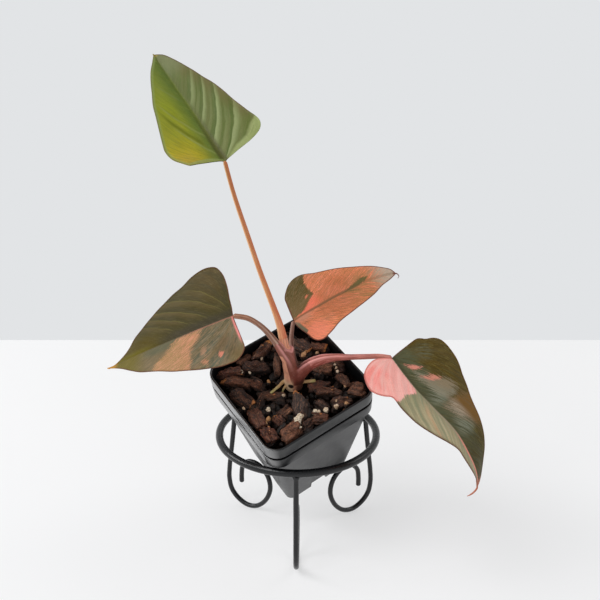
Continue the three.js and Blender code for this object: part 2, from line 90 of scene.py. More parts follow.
# The dark strip of painted shade in the groove stands out from its bottom by GROOVE_SKIN.
GROOVE_SKIN = 0.45
GROOVE_STRIP = 0.3
GROOVE_OVERLAP = 0.1
BAND_HEIGHT = 18
BAND_TAPER = 0.3
MOUTH_TAPER = 0.5
BODY_STEP = 1.8
BODY_CORNER = 7.5
BASE_SIDE = 42.4
BASE_CORNER = 4
POT_DEPTH = 83.5
WALL = 1.2
SKIRT_HEIGHT = 6.5
NOTCH_WIDTH = 11
EDGE_EASE = 0.45
SHARP_ANGLE = math.radians(35)
DRAIN_RADIUS = 3
DRAIN_SIDES = 32
DRAIN_SPREAD = 11
MIX_LEVEL = -9
CLEARANCE = 0.3


def rotation(axis, angle):
    """A turn about X, Y or Z, as a matrix that points in rows are multiplied with."""
    c = math.cos(angle)
    s = math.sin(angle)
    i, j = {"X": (1, 2), "Y": (2, 0), "Z": (0, 1)}[axis]
    turn = np.eye(3)
    turn[i, i] = c
    turn[j, j] = c
    turn[i, j] = -s
    turn[j, i] = s
    return turn


POT_TURNS = rotation("Y", POT_LEAN) @ rotation("X", POT_TILT) @ rotation("Z", POT_TURN)


def from_pot(points):
    """Pot's own frame, with the origin in the middle of the rim, to the stand's."""
    return np.asarray(points, float) @ POT_TURNS.T + POT_PLACE


def to_pot(points):
    """The stand's frame to the pot's own."""
    return (points - POT_PLACE) @ POT_TURNS


def place(points):
    """The stand's frame in millimetres to the scene's in metres."""
    return (np.asarray(points, float) + RING_AXIS) * MM


def mesh_points(mesh):
    """A mesh's points in the stand's frame."""
    points = np.zeros(len(mesh.vertices) * 3)
    mesh.vertices.foreach_get("co", points)
    return points.reshape(-1, 3) / MM - RING_AXIS


def smooth_step(value, low, high):
    """Rises smoothly from 0 to 1 as the value goes from low to high."""
    share = np.clip((value - low) / (high - low), 0, 1)
    return share * share * (3 - 2 * share)


def circle(sides):
    """Angles evenly round a circle."""
    return np.arange(sides) / sides * 2 * math.pi


def unit(vectors):
    return vectors / np.maximum(np.linalg.norm(vectors, axis=-1, keepdims=True), 1e-12)


def rough(points, scale, seed=0.0):
    """Soft noise from -1 to 1 at each point."""
    shift = Vector((seed, seed * 0.37, -seed * 0.71))
    return np.array([noise.noise(Vector(p) * scale + shift) for p in np.asarray(points).tolist()])


def bell(value, width):
    """1 at 0, falling smoothly to almost nothing past twice the width."""
    return np.exp(-((value / width) ** 2))


def shade_smooth(mesh, smooth=True):
    mesh.polygons.foreach_set("use_smooth", np.full(len(mesh.polygons), smooth))


def add_fields(mesh, fields):
    """Numbers for each point of a mesh, which its material reads by name."""
    for field, values in fields.items():
        attribute = mesh.attributes.new(field, "FLOAT", "POINT")
        attribute.data.foreach_set("value", np.asarray(values, np.float32))


def add_object(name, data):
    item = bpy.data.objects.new(name, data)
    bpy.context.scene.collection.objects.link(item)
    return item


def add_mesh(name, points, faces, fields=None):
    mesh = bpy.data.meshes.new(name)
    mesh.from_pydata(place(points).tolist(), [], faces)
    mesh.validate()
    shade_smooth(mesh)
    add_fields(mesh, fields or {})
    return add_object(name, mesh)


def apply_modifiers(piece):
    shaped = bpy.data.meshes.new_from_object(
        piece.evaluated_get(bpy.context.evaluated_depsgraph_get())
    )
    piece.modifiers.clear()
    piece.data = shaped


def finish_piece(piece, material, slot, *nodes):
    piece.data.materials.clear()
    piece.data.materials.append(material)
    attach(piece, "root")
    if nodes:
        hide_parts(*nodes)


def ring_faces(rings, sides):
    """Faces of a tube whose points come ring by ring, with a flat face at both ends."""
    faces = []
    for ring in range(rings - 1):
        for side in range(sides):
            here = ring * sides + side
            beside = ring * sides + (side + 1) % sides
            faces.append((here, beside, beside + sides, here + sides))
    faces.append(tuple(reversed(range(sides))))
    faces.append(tuple(range((rings - 1) * sides, rings * sides)))
    return faces


def loop_faces(rings, sides, flipped=False):
    """Faces of a tube that closes on itself, whose points come ring by ring."""
    faces = []
    for ring in range(rings):
        start = ring * sides
        ahead = (ring + 1) % rings * sides
        for side in range(sides):
            beside = (side + 1) % sides
            a, b, c, d = start + side, start + beside, ahead + beside, ahead + side
            faces.append((a, d, c, b) if flipped else (a, b, c, d))
    return faces


def cubic(start, end, leave, reach, share):
    """A point between two others on the curve with these tangents."""
    square = -3 * start + 3 * end - 2 * leave - reach
    cube = 2 * start - 2 * end + leave + reach
    return start + share * (leave + share * (square + share * cube))


def route_point(points, place_on_route):
    """A point on the same centripetal curve that the part's source runs through these points."""
    points = np.asarray(points, float)
    last = len(points) - 1
    span = min(int(place_on_route), last - 1)
    start, end = points[span:span + 2]
    before = points[span - 1] if span > 0 else 2 * start - end
    after = points[span + 2] if span + 2 <= last else 2 * end - start
    gaps = [
        max(np.linalg.norm(b - a) ** 0.5, 1e-4)
        for a, b in [(before, start), (start, end), (end, after)]
    ]
    leave = (start - before) / gaps[0] - (end - before) / (gaps[0] + gaps[1])
    leave = (leave + (end - start) / gaps[1]) * gaps[1]
    reach = (end - start) / gaps[1] - (after - start) / (gaps[1] + gaps[2])
    reach = (reach + (after - end) / gaps[2]) * gaps[1]
    return cubic(start, end, leave, reach, place_on_route - span)


def running_length(points):
    """How far along a line of points each one is."""
    return np.concatenate([[0], np.cumsum(np.linalg.norm(np.diff(points, axis=0), axis=1))])


def sweep(centres, across_radii, up_radii, sides, dent=None):
    """Rings of points round a line of centres. They keep the part's own way of turning along it."""
    tangents = unit(np.gradient(centres, axis=0))
    across = np.array([1.0, 0, 0])
    angles = circle(sides)
    rings = []
    for step, (centre, tangent) in enumerate(zip(centres, tangents)):
        across = unit(across - tangent * (across @ tangent))
        up = np.cross(tangent, across)
        reach = np.ones(sides) if dent is None else dent(step / (len(centres) - 1), angles)
        ring = centre
        ring = ring + np.outer(np.cos(angles) * reach * across_radii[step], across)
        ring = ring + np.outer(np.sin(angles) * reach * up_radii[step], up)
        rings.append(ring)
    return np.array(rings)


def srgb(red, green, blue):
    """A colour given as it looks, 0 to 255, as the linear colour that a shader takes."""
    values = []
    for part in (red, green, blue):
        part = part / 255
        values.append(part / 12.92 if part <= 0.04045 else ((part + 0.055) / 1.055) ** 2.4)
    return (*values, 1.0)


class Shader:
    """A procedural material on a Principled shader. Its colour is built layer over layer."""

    def __init__(self, name, colour, roughness, **constants):
        self.material = bpy.data.materials.new(name)
        self.material.use_nodes = True
        self.tree = self.material.node_tree
        self.tree.nodes.clear()
        self.shader = self.node("BsdfPrincipled")
        self.put(self.node("OutputMaterial").inputs["Surface"], self.shader.outputs["BSDF"])
        self.shader.inputs["Roughness"].default_value = roughness
        for socket, value in constants.items():
            self.shader.inputs[socket.replace("_", " ")].default_value = value
        self.colour = srgb(*colour)

    def node(self, kind, *values, **settings):
        """A new node, with settings by name and values for its first sockets."""
        node = self.tree.nodes.new("ShaderNode" + kind)
        for setting, value in settings.items():
            setattr(node, setting, value)
        for socket, value in zip(node.inputs, values):
            self.put(socket, value)
        return node

    def put(self, socket, value):
        if isinstance(value, bpy.types.NodeSocket):
            self.tree.links.new(value, socket)
        else:
            socket.default_value = value

    def set(self, socket, value):
        self.put(self.shader.inputs[socket], value)

    def calc(self, operation, *values):
        return self.node("Math", *values, operation=operation).outputs[0]

    def plus(self, first, *others):
        for other in others:
            first = self.calc("ADD", first, other)
        return first

    def times(self, first, *others):
        for other in others:
            first = self.calc("MULTIPLY", first, other)
        return first

    def mixed(self, share, first, second):
        """A number between two others."""
        return self.plus(self.times(share, second - first), first)

    def sway(self, pattern, reach):
        """A pattern from 0 to 1 as a number on both sides of 0."""
        return self.times(self.plus(pattern, -0.5), reach)

    def step(self, value, low, high, start=0.0, end=1.0):
        """Rises smoothly from start to end as the value goes from low to high."""
        node = self.node("MapRange", value, low, high, start, end, interpolation_type="SMOOTHSTEP")
        return node.outputs[0]

    def field(self, name):
        return self.node("Attribute", attribute_name=name).outputs["Fac"]

    def where(self):
        return self.node("TexCoord").outputs["Object"]

    def join(self, x, y, z=0.0):
        return self.node("CombineXYZ", x, y, z).outputs[0]

    def grain(self, vector, scale, detail, roughness=0.55):
        """Noise from 0 to 1."""
        node = self.node("TexNoise", vector)
        node.inputs["Scale"].default_value = scale
        node.inputs["Detail"].default_value = detail
        node.inputs["Roughness"].default_value = roughness
        return node.outputs["Fac"]

    def cells(self, vector, scale):
        """Distance to the nearest of many scattered points."""
        node = self.node("TexVoronoi", vector)
        node.inputs["Scale"].default_value = scale
        return node.outputs["Distance"]

    def mix(self, share, first, second):
        node = self.node("Mix", share, data_type="RGBA")
        self.put(node.inputs[6], first)
        self.put(node.inputs[7], second)
        return node.outputs[2]

    def layer(self, colour, *shares):
        """Covers the colour so far with another, by the product of the shares."""
        if isinstance(colour, tuple):
            colour = srgb(*colour)
        self.colour = self.mix(self.times(*shares), self.colour, colour)

    def fine(self, pattern, low, high, most=1.0):
        return self.step(pattern, low, high, 0, most)

    def mottle(self, colour, pattern, low, high, most, *shares):
        """A layer whose share rises from 0 where a pattern is at low, to most where it is at high."""
        self.layer(colour, self.fine(pattern, low, high, most), *shares)

    def bump(self, height, distance, strength, under=None):
        node = self.node("Bump")
        node.inputs["Distance"].default_value = distance * MM
        node.inputs["Strength"].default_value = strength
        self.put(node.inputs["Height"], height)
        if under is not None:
            self.put(node.inputs["Normal"], under)
        return node.outputs["Normal"]

    def painted(self):
        """The finished material."""
        self.set("Base Color", self.colour)
        return self.material


def wire_material():
    s = Shader("wire_black", (6, 7, 9), 0.42, Specular_IOR_Level=0.45)
    where = s.where()
    cloud = s.grain(where, 45, 3)
    fine = s.grain(where, 900, 4)
    s.layer((14, 15, 18), cloud)
    s.set("Roughness", s.plus(s.times(cloud, 0.12), s.times(fine, 0.1), 0.16))
    s.set("Normal", s.bump(fine, 0.25, 0.5))
    return s.painted()


def stand_ring(material):
    round_wire = circle(RING_SIDES)
    points = []
    for angle in circle(RING_STEPS):
        wave = 0.05 * math.sin(3 * angle + 1) + 0.03 * math.sin(11 * angle)
        out = RING_RADIUS + wave + RING_WIRE * np.cos(round_wire)
        up = RING_HEIGHT + RING_WIRE * np.sin(round_wire)
        points.append(np.stack([out * math.cos(angle), out * math.sin(angle), up], 1))
    faces = loop_faces(RING_STEPS, RING_SIDES, flipped=True)
    piece = add_mesh("stand_ring_wire", np.concatenate(points), faces)
    finish_piece(piece, material, "wire", "stand_ring")


def stand_leg(name, angle, turn, material):
    angle = math.radians(angle)
    heading = angle + math.radians(turn)
    weld = RING_RADIUS * np.array([math.cos(angle), math.sin(angle)])
    out = np.array([math.cos(heading), math.sin(heading)])
    route = [(*(weld + (radius - RING_RADIUS) * out), height - FOOT_WEAR) for radius, height in LEG_ROUTE]
    places = np.linspace(0, len(route) - 1, LEG_STEPS)
    centres = np.array([route_point(route, p) for p in places])
    lengths = running_length(centres)
    # The wire is a little uneven. It swells into its weld, and its cut end has a narrow broken edge.
    radii = LEG_WIRE + 0.03 * np.sin(lengths / 7)
    radii = radii + WELD_SWELL * (1 - smooth_step(lengths, 0, WELD_LENGTH))
    radii = radii - CUT_EDGE * smooth_step(lengths, lengths[-1] - CUT_LENGTH, lengths[-1])
    rings = sweep(centres, radii, radii, LEG_SIDES)
    rings[..., 2] = np.maximum(rings[..., 2], 0)
    piece = add_mesh(name + "_wire", rings.reshape(-1, 3), ring_faces(LEG_STEPS, LEG_SIDES))
    finish_piece(piece, material, "wire", name)


def pot_material():
    s = Shader("pot_plastic", (11, 12, 13), 0.3, Coat_Roughness=0.26, Coat_IOR=2.2,
               Specular_IOR_Level=0.42)
    where = s.where()
    cloud = s.grain(where, 30, 3)
    haze = s.grain(where, 160, 5, 0.65)
    fine = s.grain(where, 1400, 3)
    s.layer((19, 20, 22), cloud)
    s.mottle((92, 90, 86), haze, 0.55, 0.8, 0.14)
    # Painted reflection, made with the coat: the coat is full only on the band's side towards -X, so that
    # side alone reflects brightly.
    s.set("Coat Weight", s.mixed(s.field("shine"), 0.08, 1.0))
    smoother = s.mixed(s.field("band"), 0.3, 0.24)
    s.set("Roughness", s.plus(s.times(haze, 0.16), s.times(fine, 0.06), smoother))
    wave = s.bump(cloud, 0.5, 0.25)
    s.set("Normal", s.bump(fine, 0.12, 0.4, wave))
    return s.painted()


def body_station(height, inset):
    along = (height + POT_DEPTH) / (POT_DEPTH - BAND_HEIGHT)
    side = BASE_SIDE + (RIM_SIDE - 2 * BODY_STEP - BASE_SIDE) * along - 2 * inset
    corner = BASE_CORNER + (BODY_CORNER - BASE_CORNER) * along - inset / 2
    return (side / 2, corner, height)


def band_station(side, corner, height):
    return (side / 2, corner, height)


def eased(stations, radius):
    """Rounds the corners of a profile, with the ends left as they are."""
    stations = np.array(stations, float)
    rounded = [stations[0]]
    for before, here, after in zip(stations, stations[1:], stations[2:]):
        back = before - here
        ahead = after - here
        reach = min(radius, 0.45 * np.linalg.norm(back), 0.45 * np.linalg.norm(ahead))
        start = here + unit(back) * reach
        end = here + unit(ahead) * reach
        for share in np.linspace(0, 1, 5):
            rounded.append((1 - share) ** 2 * start + 2 * share * (1 - share) * here + share**2 * end)
    rounded.append(stations[-1])
    return rounded


def square_ring(half, corner, height, corner_steps=8, side_steps=7):
    """A square with rounded corners, and points spread along its sides too."""
    quarters = [(1, 1), (-1, 1), (-1, -1), (1, -1)]
    reach = half - corner

    def on_corner(quarter, turn):
        x, y = quarters[quarter % 4]
        return (x * reach + corner * math.cos(turn), y * reach + corner * math.sin(turn))

    outline = []
    for quarter in range(4):
        for step in range(corner_steps + 1):
            outline.append(on_corner(quarter, (quarter + step / corner_steps) * math.pi / 2))
        start = np.array(outline[-1])
        end = np.array(on_corner(quarter + 1, (quarter + 1) * math.pi / 2))
        for step in range(1, side_steps):
            outline.append(tuple(start + (end - start) * step / side_steps))
    return np.array([(x, y, height) for x, y in outline])


def cutter(name, points, faces):
    piece = add_mesh(name, from_pot(points), faces)
    shade_smooth(piece.data, False)
    return piece


def cut_away(piece, tools):
    for tool in tools:
        step = piece.modifiers.new("cut", "BOOLEAN")
        step.operation = "DIFFERENCE"
        step.solver = "EXACT"
        step.object = tool
        bpy.context.view_layer.update()
        apply_modifiers(piece)
    for tool in tools:
        bpy.data.objects.remove(tool)


def notch_cutter(turned):
    half_width = NOTCH_WIDTH / 2
    low = -POT_DEPTH - CLEARANCE
    high = -POT_DEPTH + SKIRT_HEIGHT - CLEARANCE
    corners = [
        (x, y, z)
        for z in (low, high)
        for x, y in [(-half_width, -BASE_SIDE), (half_width, -BASE_SIDE),
                     (half_width, BASE_SIDE), (-half_width, BASE_SIDE)]
    ]
    if turned:
        corners = [(-y, x, z) for x, y, z in corners]
    faces = [(3, 2, 1, 0), (4, 5, 6, 7), (0, 1, 5, 4), (1, 2, 6, 5), (2, 3, 7, 6), (3, 0, 4, 7)]
    return cutter("notch", corners, faces)


def drain_cutter(x, y):
    middle = -POT_DEPTH + SKIRT_HEIGHT
    rim = [
        (x + DRAIN_RADIUS * math.cos(angle), y + DRAIN_RADIUS * math.sin(angle), height)
        for height in (middle - 2 * WALL, middle + 2 * WALL)
        for angle in circle(DRAIN_SIDES)
    ]
    return cutter("drain", rim, ring_faces(2, DRAIN_SIDES))


def painted_groove_shade():
    # Painted shade: near black with no specular, so the groove reads as its shadow.
    s = Shader("groove_shade", (5, 5, 6), 0.9, Specular_IOR_Level=0.0)
    s.layer((16, 16, 17), s.grain(s.where(), 300, 3))
    return s.painted()


def groove_shadow_strip(material):
    """A dark strip of painted shade for the groove's shadow, in the groove under the rim, a little below the
    band's surface.
    """
    side = RIM_SIDE - 2 * GROOVE_DEPTH + 2 * GROOVE_SKIN
    corner = RIM_CORNER - GROOVE_DEPTH + GROOVE_SKIN
    top = -UPPER_BAND + GROOVE_OVERLAP
    low = top - GROOVE_HEIGHT
    inner_side = side - 2 * GROOVE_STRIP
    inner_corner = corner - GROOVE_STRIP
    rings = [
        square_ring(*band_station(side, corner, low)),
        square_ring(*band_station(side, corner, top)),
        square_ring(*band_station(inner_side, inner_corner, top)),
        square_ring(*band_station(inner_side, inner_corner, low)),
    ]
    faces = loop_faces(len(rings), len(rings[0]))
    piece = add_mesh("groove_shadow_strip", from_pot(np.concatenate(rings)), faces)
    finish_piece(piece, material, "pot", "pot")


def mark_band(mesh):
    """Marks the smoother band under the rim, and its side towards -X, where a full coat puts a bright
    reflection.
    """
    in_pot = to_pot(mesh_points(mesh))
    band = smooth_step(in_pot[:, 2], -BAND_HEIGHT - 0.2, -BAND_HEIGHT + 0.2)
    reflection_side = smooth_step(-in_pot[:, 0], RIM_SIDE / 2 - 6, RIM_SIDE / 2 - 1.5)
    add_fields(mesh, {"band": band, "shine": band * reflection_side})


def pot(material):
    groove_top = -UPPER_BAND
    groove_low = -UPPER_BAND - GROOVE_HEIGHT
    groove_side = RIM_SIDE - 2 * GROOVE_DEPTH
    groove_corner = RIM_CORNER - GROOVE_DEPTH
    mouth_side = RIM_SIDE - 2 * WALL
    mouth_corner = RIM_CORNER - WALL
    floor_under = -POT_DEPTH + SKIRT_HEIGHT
    stations = [
        body_station(floor_under, WALL),
        body_station(-POT_DEPTH, WALL),
        body_station(-POT_DEPTH, 0),
        body_station(-BAND_HEIGHT, 0),
        band_station(RIM_SIDE - 2 * BAND_TAPER, RIM_CORNER, -BAND_HEIGHT),
        band_station(RIM_SIDE, RIM_CORNER, groove_low),
        band_station(groove_side, groove_corner, groove_low),
        band_station(groove_side, groove_corner, groove_top),
        band_station(RIM_SIDE, RIM_CORNER, groove_top),
        band_station(RIM_SIDE, RIM_CORNER, 0),
        band_station(mouth_side, mouth_corner, 0),
        band_station(mouth_side - 2 * MOUTH_TAPER, mouth_corner, groove_top),
        body_station(-BAND_HEIGHT, WALL),
        body_station(floor_under + WALL, WALL),
    ]
    rings = [square_ring(*station) for station in eased(stations, EDGE_EASE)]
    faces = ring_faces(len(rings), len(rings[0]))
    piece = add_mesh("pot_shell", from_pot(np.concatenate(rings)), faces)
    tools = [notch_cutter(False), notch_cutter(True)]
    for x, y in [(0, 0), (1, 1), (-1, 1), (-1, -1), (1, -1)]:
        tools.append(drain_cutter(x * DRAIN_SPREAD, y * DRAIN_SPREAD))
    cut_away(piece, tools)
    piece.data.set_sharp_from_angle(angle=SHARP_ANGLE)
    mark_band(piece.data)
    finish_piece(piece, material, "pot", "pot")


BLADE_THICKNESS = 0.7
# The blade's net fans out from its base over FAN_SHARE of its edge, then starts along the midrib.
FAN_SHARE = 0.22
RIB_REACH = 0.94
RIB_CROWDING = 1.1
EDGE_STEPS = 84
HALF_STEPS = 20
SPLINE_STEPS = 24
VEIN_STAGGER = 0.12
RIPPLE = 0.4
EDGE_SHARE = 0.4
RIB_WIDTH = 0.9
RIB_GROOVE = 0.35
RIB_RIDGE = 0.75

# Each blade starts at its petiole and runs along a midrib that turns from its first heading and
# pitch. The outlines give the distance along the midrib and out from it, from the base lobe to the
# tip. Veins leave the midrib at vein_angle and bend towards the tip by vein_bend.
BLADES = {
    "blade_tall": dict(
        base=(-35.5, -28, 228.6), length=84, heading=115, pitch=27, droop=-15, sweep=25, curl=1,
        roll=-19, twist=-10, fold=24, arch=0.38, vein_angle=42, vein_bend=0.045, vein_gap=14,
        relief=0.16, rib=[(0, 0), (12, -0.8), (60, -1), (84, 0)],
        right=[(0, 1.3), (0.2, 4.7), (1, 10.7), (1.8, 17), (4.2, 22.6), (8, 25.6), (12.5, 26),
               (21.3, 23.3), (31.3, 20.8), (40.2, 19), (48.6, 16.8), (54.7, 14.5), (62.3, 12),
               (68.4, 9.8), (74.7, 7.2), (79.6, 4.8), (82.1, 2.5)],
        left=[(0, 1.8), (0.7, 6.4), (0, 12.2), (-1.2, 17), (-1.7, 19.3), (2.5, 23.7), (6.8, 26.4),
              (13, 27.6), (17.9, 27.1), (29.8, 24.8), (40.6, 22.2), (49.3, 19.9), (58.2, 16.2),
              (66.3, 12.5), (73, 8.7), (78.4, 4.5)],
    ),
    "blade_left": dict(
        base=(-34.2, -22, 145.7), length=76.5, heading=178, pitch=-23, droop=4, sweep=-3, curl=1,
        roll=-46, twist=20, fold=13, arch=0.31, vein_angle=42, vein_bend=0.034, vein_gap=11,
        relief=0.2, rib=[(0, 0), (77, 0)],
        right=[(-0.8, 4.4), (-1.1, 10.2), (-1.7, 16.5), (-1.4, 23.2), (0.2, 28.1), (2.5, 31.3),
               (7.2, 33.2), (12.3, 33.5), (17.8, 32.3), (24.2, 29.2), (31.9, 26.5), (39, 23.3),
               (46.2, 19.4), (51.9, 15.9), (57.8, 11.3), (62.3, 6.6), (65.9, 3.7), (71.4, 0.8)],
        left=[(-0.5, 4.1), (-1.5, 9.8), (-2.5, 16.4), (-2.9, 21), (-1.3, 24.2), (2.6, 27.2),
              (7.5, 27.9), (12.3, 28), (18.5, 27), (26.8, 25), (36.3, 22.3), (43.3, 19.3),
              (50.1, 16.5), (55.9, 14.4), (62, 10.1), (68.8, 4.9)],
    ),
    "blade_back": dict(
        base=(-2.3, 2, 133.5), length=64.5, heading=7, pitch=33, droop=29, sweep=6, curl=2,
        roll=17, twist=17, fold=12, arch=0.31, vein_angle=40, vein_bend=0.03, vein_gap=9,
        relief=0.15, rib=[(0, 0), (22, 1), (34, 1), (52, 0), (65, 0)],
        right=[(0.2, 3.4), (1.1, 8.7), (2.4, 13.6), (4.2, 19.3), (5.8, 24.8), (8.2, 27.6),
               (11.3, 28.1), (14.7, 26.7), (17.8, 25.1), (21.7, 22.6), (27.4, 20.1), (34.7, 17.6),
               (41.4, 15.1), (47.3, 12.1), (53.9, 7.4), (59.9, 3.8)],
        left=[(0.9, 8), (1, 14.3), (1.3, 19.4), (3.6, 24.6), (7.1, 28.9), (11.2, 30.3),
              (14.9, 29.3), (18.2, 27.1), (24.7, 21.9), (31.6, 18.2), (38.3, 14.9), (44.6, 11.6),
              (52.3, 8.4), (58.2, 5.4), (62.1, 3.2)],
    ),
    "blade_right": dict(
        base=(50.4, -26, 123.2), length=85, heading=-53, pitch=-20, droop=69, sweep=35, curl=2,
        roll=5, twist=-3, fold=13, arch=0.38, vein_angle=40, vein_bend=0.034, vein_gap=11,
        relief=0.2, rib=[(0, 0), (12, 2.4), (24, 4), (38, 4), (52, 1.4), (66, 1.4), (80, -0.6), (85, 0)],
        right=[(-0.4, 2.6), (-1.6, 8), (-1.6, 12), (0.5, 18), (4.2, 23.8), (8.8, 27.1), (14.1, 29),
               (17.7, 28), (21.1, 25.2), (23.2, 21.9), (25.9, 21.6), (31, 22.4), (37.8, 22),
               (43.4, 20.3), (49.3, 16.8), (55.3, 12), (60.1, 8.6), (64.6, 8.1), (71.1, 6.5),
               (77.1, 3.8)],
        left=[(-0.8, 5.2), (-2.2, 11.8), (-3.3, 17.5), (-3.7, 21.1), (-2.6, 23.4), (-1.1, 25.3),
              (-0.3, 29.7), (1.8, 32.8), (5.4, 33.7), (10.8, 33), (17.1, 31.3), (24.2, 28.1),
              (32.2, 24.1), (40.5, 20.8), (47.9, 18.7), (54.7, 17.8), (59.9, 16.5), (66, 13.7),
              (72, 9.9), (77.9, 6.9), (82.5, 3.9)],
    ),
}


def midrib_frame(blade, along):
    """Heading and pitch of the midrib, in radians, at each distance along it."""
    bend = np.maximum(along / blade["length"], 0) ** blade["curl"]
    heading = np.radians(blade["heading"] + blade["sweep"] * bend)
    pitch = np.radians(blade["pitch"] - blade["droop"] * bend)
    return heading, pitch


def midrib_tangent(blade, along):
    heading, pitch = midrib_frame(blade, along)
    return np.stack([np.cos(pitch) * np.cos(heading), np.cos(pitch) * np.sin(heading), np.sin(pitch)], -1)


def rib_line(blade, along):
    """How far the midrib strays from the blade's straight middle."""
    at, off = np.array(blade["rib"], float).T
    near = [np.interp(along + step, at, off) for step in (-3, -1.5, 0, 1.5, 3)]
    return np.mean(near, axis=0) * smooth_step(along, 0, 4)


def blade_surface(blade, along, out):
    """Middle of the blade, by the distance along the midrib and out from it, positive to the right."""
    steps = 48
    shares = (np.arange(steps) + 0.5) / steps
    way = midrib_tangent(blade, along[:, None] * shares[None, :]).mean(axis=1) * along[:, None]
    heading, _ = midrib_frame(blade, along)
    tangent = midrib_tangent(blade, along)
    roll = np.radians(blade["roll"] + blade["twist"] * np.maximum(along / blade["length"], 0))[:, None]
    level = np.stack([np.sin(heading), -np.cos(heading), 0 * heading], -1)
    raised = np.cross(level, tangent)
    side = level * np.cos(roll) - raised * np.sin(roll)
    face = raised * np.cos(roll) + level * np.sin(roll)
    fold = math.radians(blade["fold"])
    off_rib = np.abs(out - rib_line(blade, along))
    rise = off_rib * math.sin(fold) - blade["arch"] * out * out / blade["length"]
    points = np.array(blade["base"]) + way
    return points + side * (out * math.cos(fold))[:, None] + face * rise[:, None]


def blade_normals(blade, along, out):
    """Unit vectors off the side of the blade that faces up at its midrib."""
    nudge = 0.2
    ahead = blade_surface(blade, along + nudge, out) - blade_surface(blade, along - nudge, out)
    beside = blade_surface(blade, along, out + nudge) - blade_surface(blade, along, out - nudge)
    return unit(np.cross(beside, ahead))


def spline(points, steps):
    """Points at even distances on a smooth curve through these."""
    points = np.array(points, float)
    last = len(points) - 1
    fine = []
    for place_on_curve in np.linspace(0, last, SPLINE_STEPS * last + 1):
        span = min(int(place_on_curve), last - 1)
        before, start, end, after = [points[min(max(span + n, 0), last)] for n in (-1, 0, 1, 2)]
        fine.append(cubic(start, end, (end - before) / 2, (after - start) / 2, place_on_curve - span))
    fine = np.array(fine)
    lengths = running_length(fine)
    wanted = np.linspace(0, lengths[-1], steps + 1)
    return np.stack([np.interp(wanted, lengths, fine[:, axis]) for axis in (0, 1)], 1)


def vein_coordinate(blade, along, wide):
    """A number that is the same all along each side vein: where it leaves the midrib, in mm."""
    angle = math.radians(blade["vein_angle"])
    bend = blade["vein_bend"] * (0.5 + 0.5 * smooth_step(along, -10, 60))
    unbent = along - bend * wide**2
    leaves = unbent - wide / math.tan(angle)
    turned = np.arctan2(wide, unbent) - angle
    return np.where(turned > 0, -22 * turned, leaves)


def edge_distance(flat, rims):
    """Distance in mm from each flat point to the nearest part of the edge."""
    nearest = np.full(len(flat), 1e9)
    for rim in rims:
        for a, b in zip(rim, rim[1:]):
            nearest = np.minimum(nearest, segment_distance(flat, flat[a], flat[b]))
    return nearest


def segment_distance(points, a, b):
    span = b - a
    share = np.clip((points - a) @ span / max(span @ span, 1e-9), 0, 1)
    return np.linalg.norm(points - a - share[:, None] * span, axis=1)


def inside_distance(points, outline):
    """Distance in mm to an outline's edge, positive inside it."""
    corners = np.array(outline, float)
    nearest = np.full(len(points), 1e9)
    inside = np.zeros(len(points), bool)
    x, y = points.T
    for a, b in zip(corners, np.roll(corners, -1, axis=0)):
        nearest = np.minimum(nearest, segment_distance(points, a, b))
        crosses = (a[1] > y) != (b[1] > y)
        rise = b[1] - a[1] if b[1] != a[1] else 1e-9
        inside ^= crosses & (x < (b[0] - a[0]) * (y - a[1]) / rise + a[0])
    return np.where(inside, nearest, -nearest)


def blade_net(shape):
    """The blade laid flat: its points and faces, and the line of points round each half's edge."""
    flat = [(0.0, 0.0)]
    known = {"mid 0": 0}
    faces = []
    rims = []

    def point_at(key, along, out):
        if key not in known:
            known[key] = len(flat)
            flat.append((along, out))
        return known[key]

    tip = point_at("tip", shape["length"], 0.0)
    for side, sign in [("right", 1), ("left", -1)]:
        edge = spline([(0, 0), *shape[side], (shape["length"], 0)], EDGE_STEPS)
        rows = []
        for step in range(1, EDGE_STEPS):
            rim_along, rim_out = edge[step]
            past_fan = max(0.0, (step / EDGE_STEPS - FAN_SHARE) / (1 - FAN_SHARE))
            start = past_fan**RIB_CROWDING * RIB_REACH * shape["length"]
            start_out = float(rib_line(shape, np.array([start]))[0])
            row = []
            for part in range(HALF_STEPS + 1):
                share = part / HALF_STEPS
                along = start + (rim_along - start) * share
                out = start_out + (sign * rim_out - start_out) * share
                key = f"{side} {step} {part}"
                if part == 0:
                    key = f"mid {start:.3f}" if start > 0 else "mid 0"
                row.append(point_at(key, along, out))
            rows.append(row)
        for row, after in zip(rows, rows[1:]):
            for part in range(HALF_STEPS):
                quad = list(dict.fromkeys([row[part], after[part], after[part + 1], row[part + 1]]))
                faces.append(tuple(quad[::-sign]))
        for part in range(HALF_STEPS):
            corner = (rows[-1][part], tip, rows[-1][part + 1])
            faces.append(corner[::-sign])
        rim = [*rows[0], *[row[-1] for row in rows[1:]], tip]
        rims.append(rim[::sign])
    return np.array(flat), faces, rims


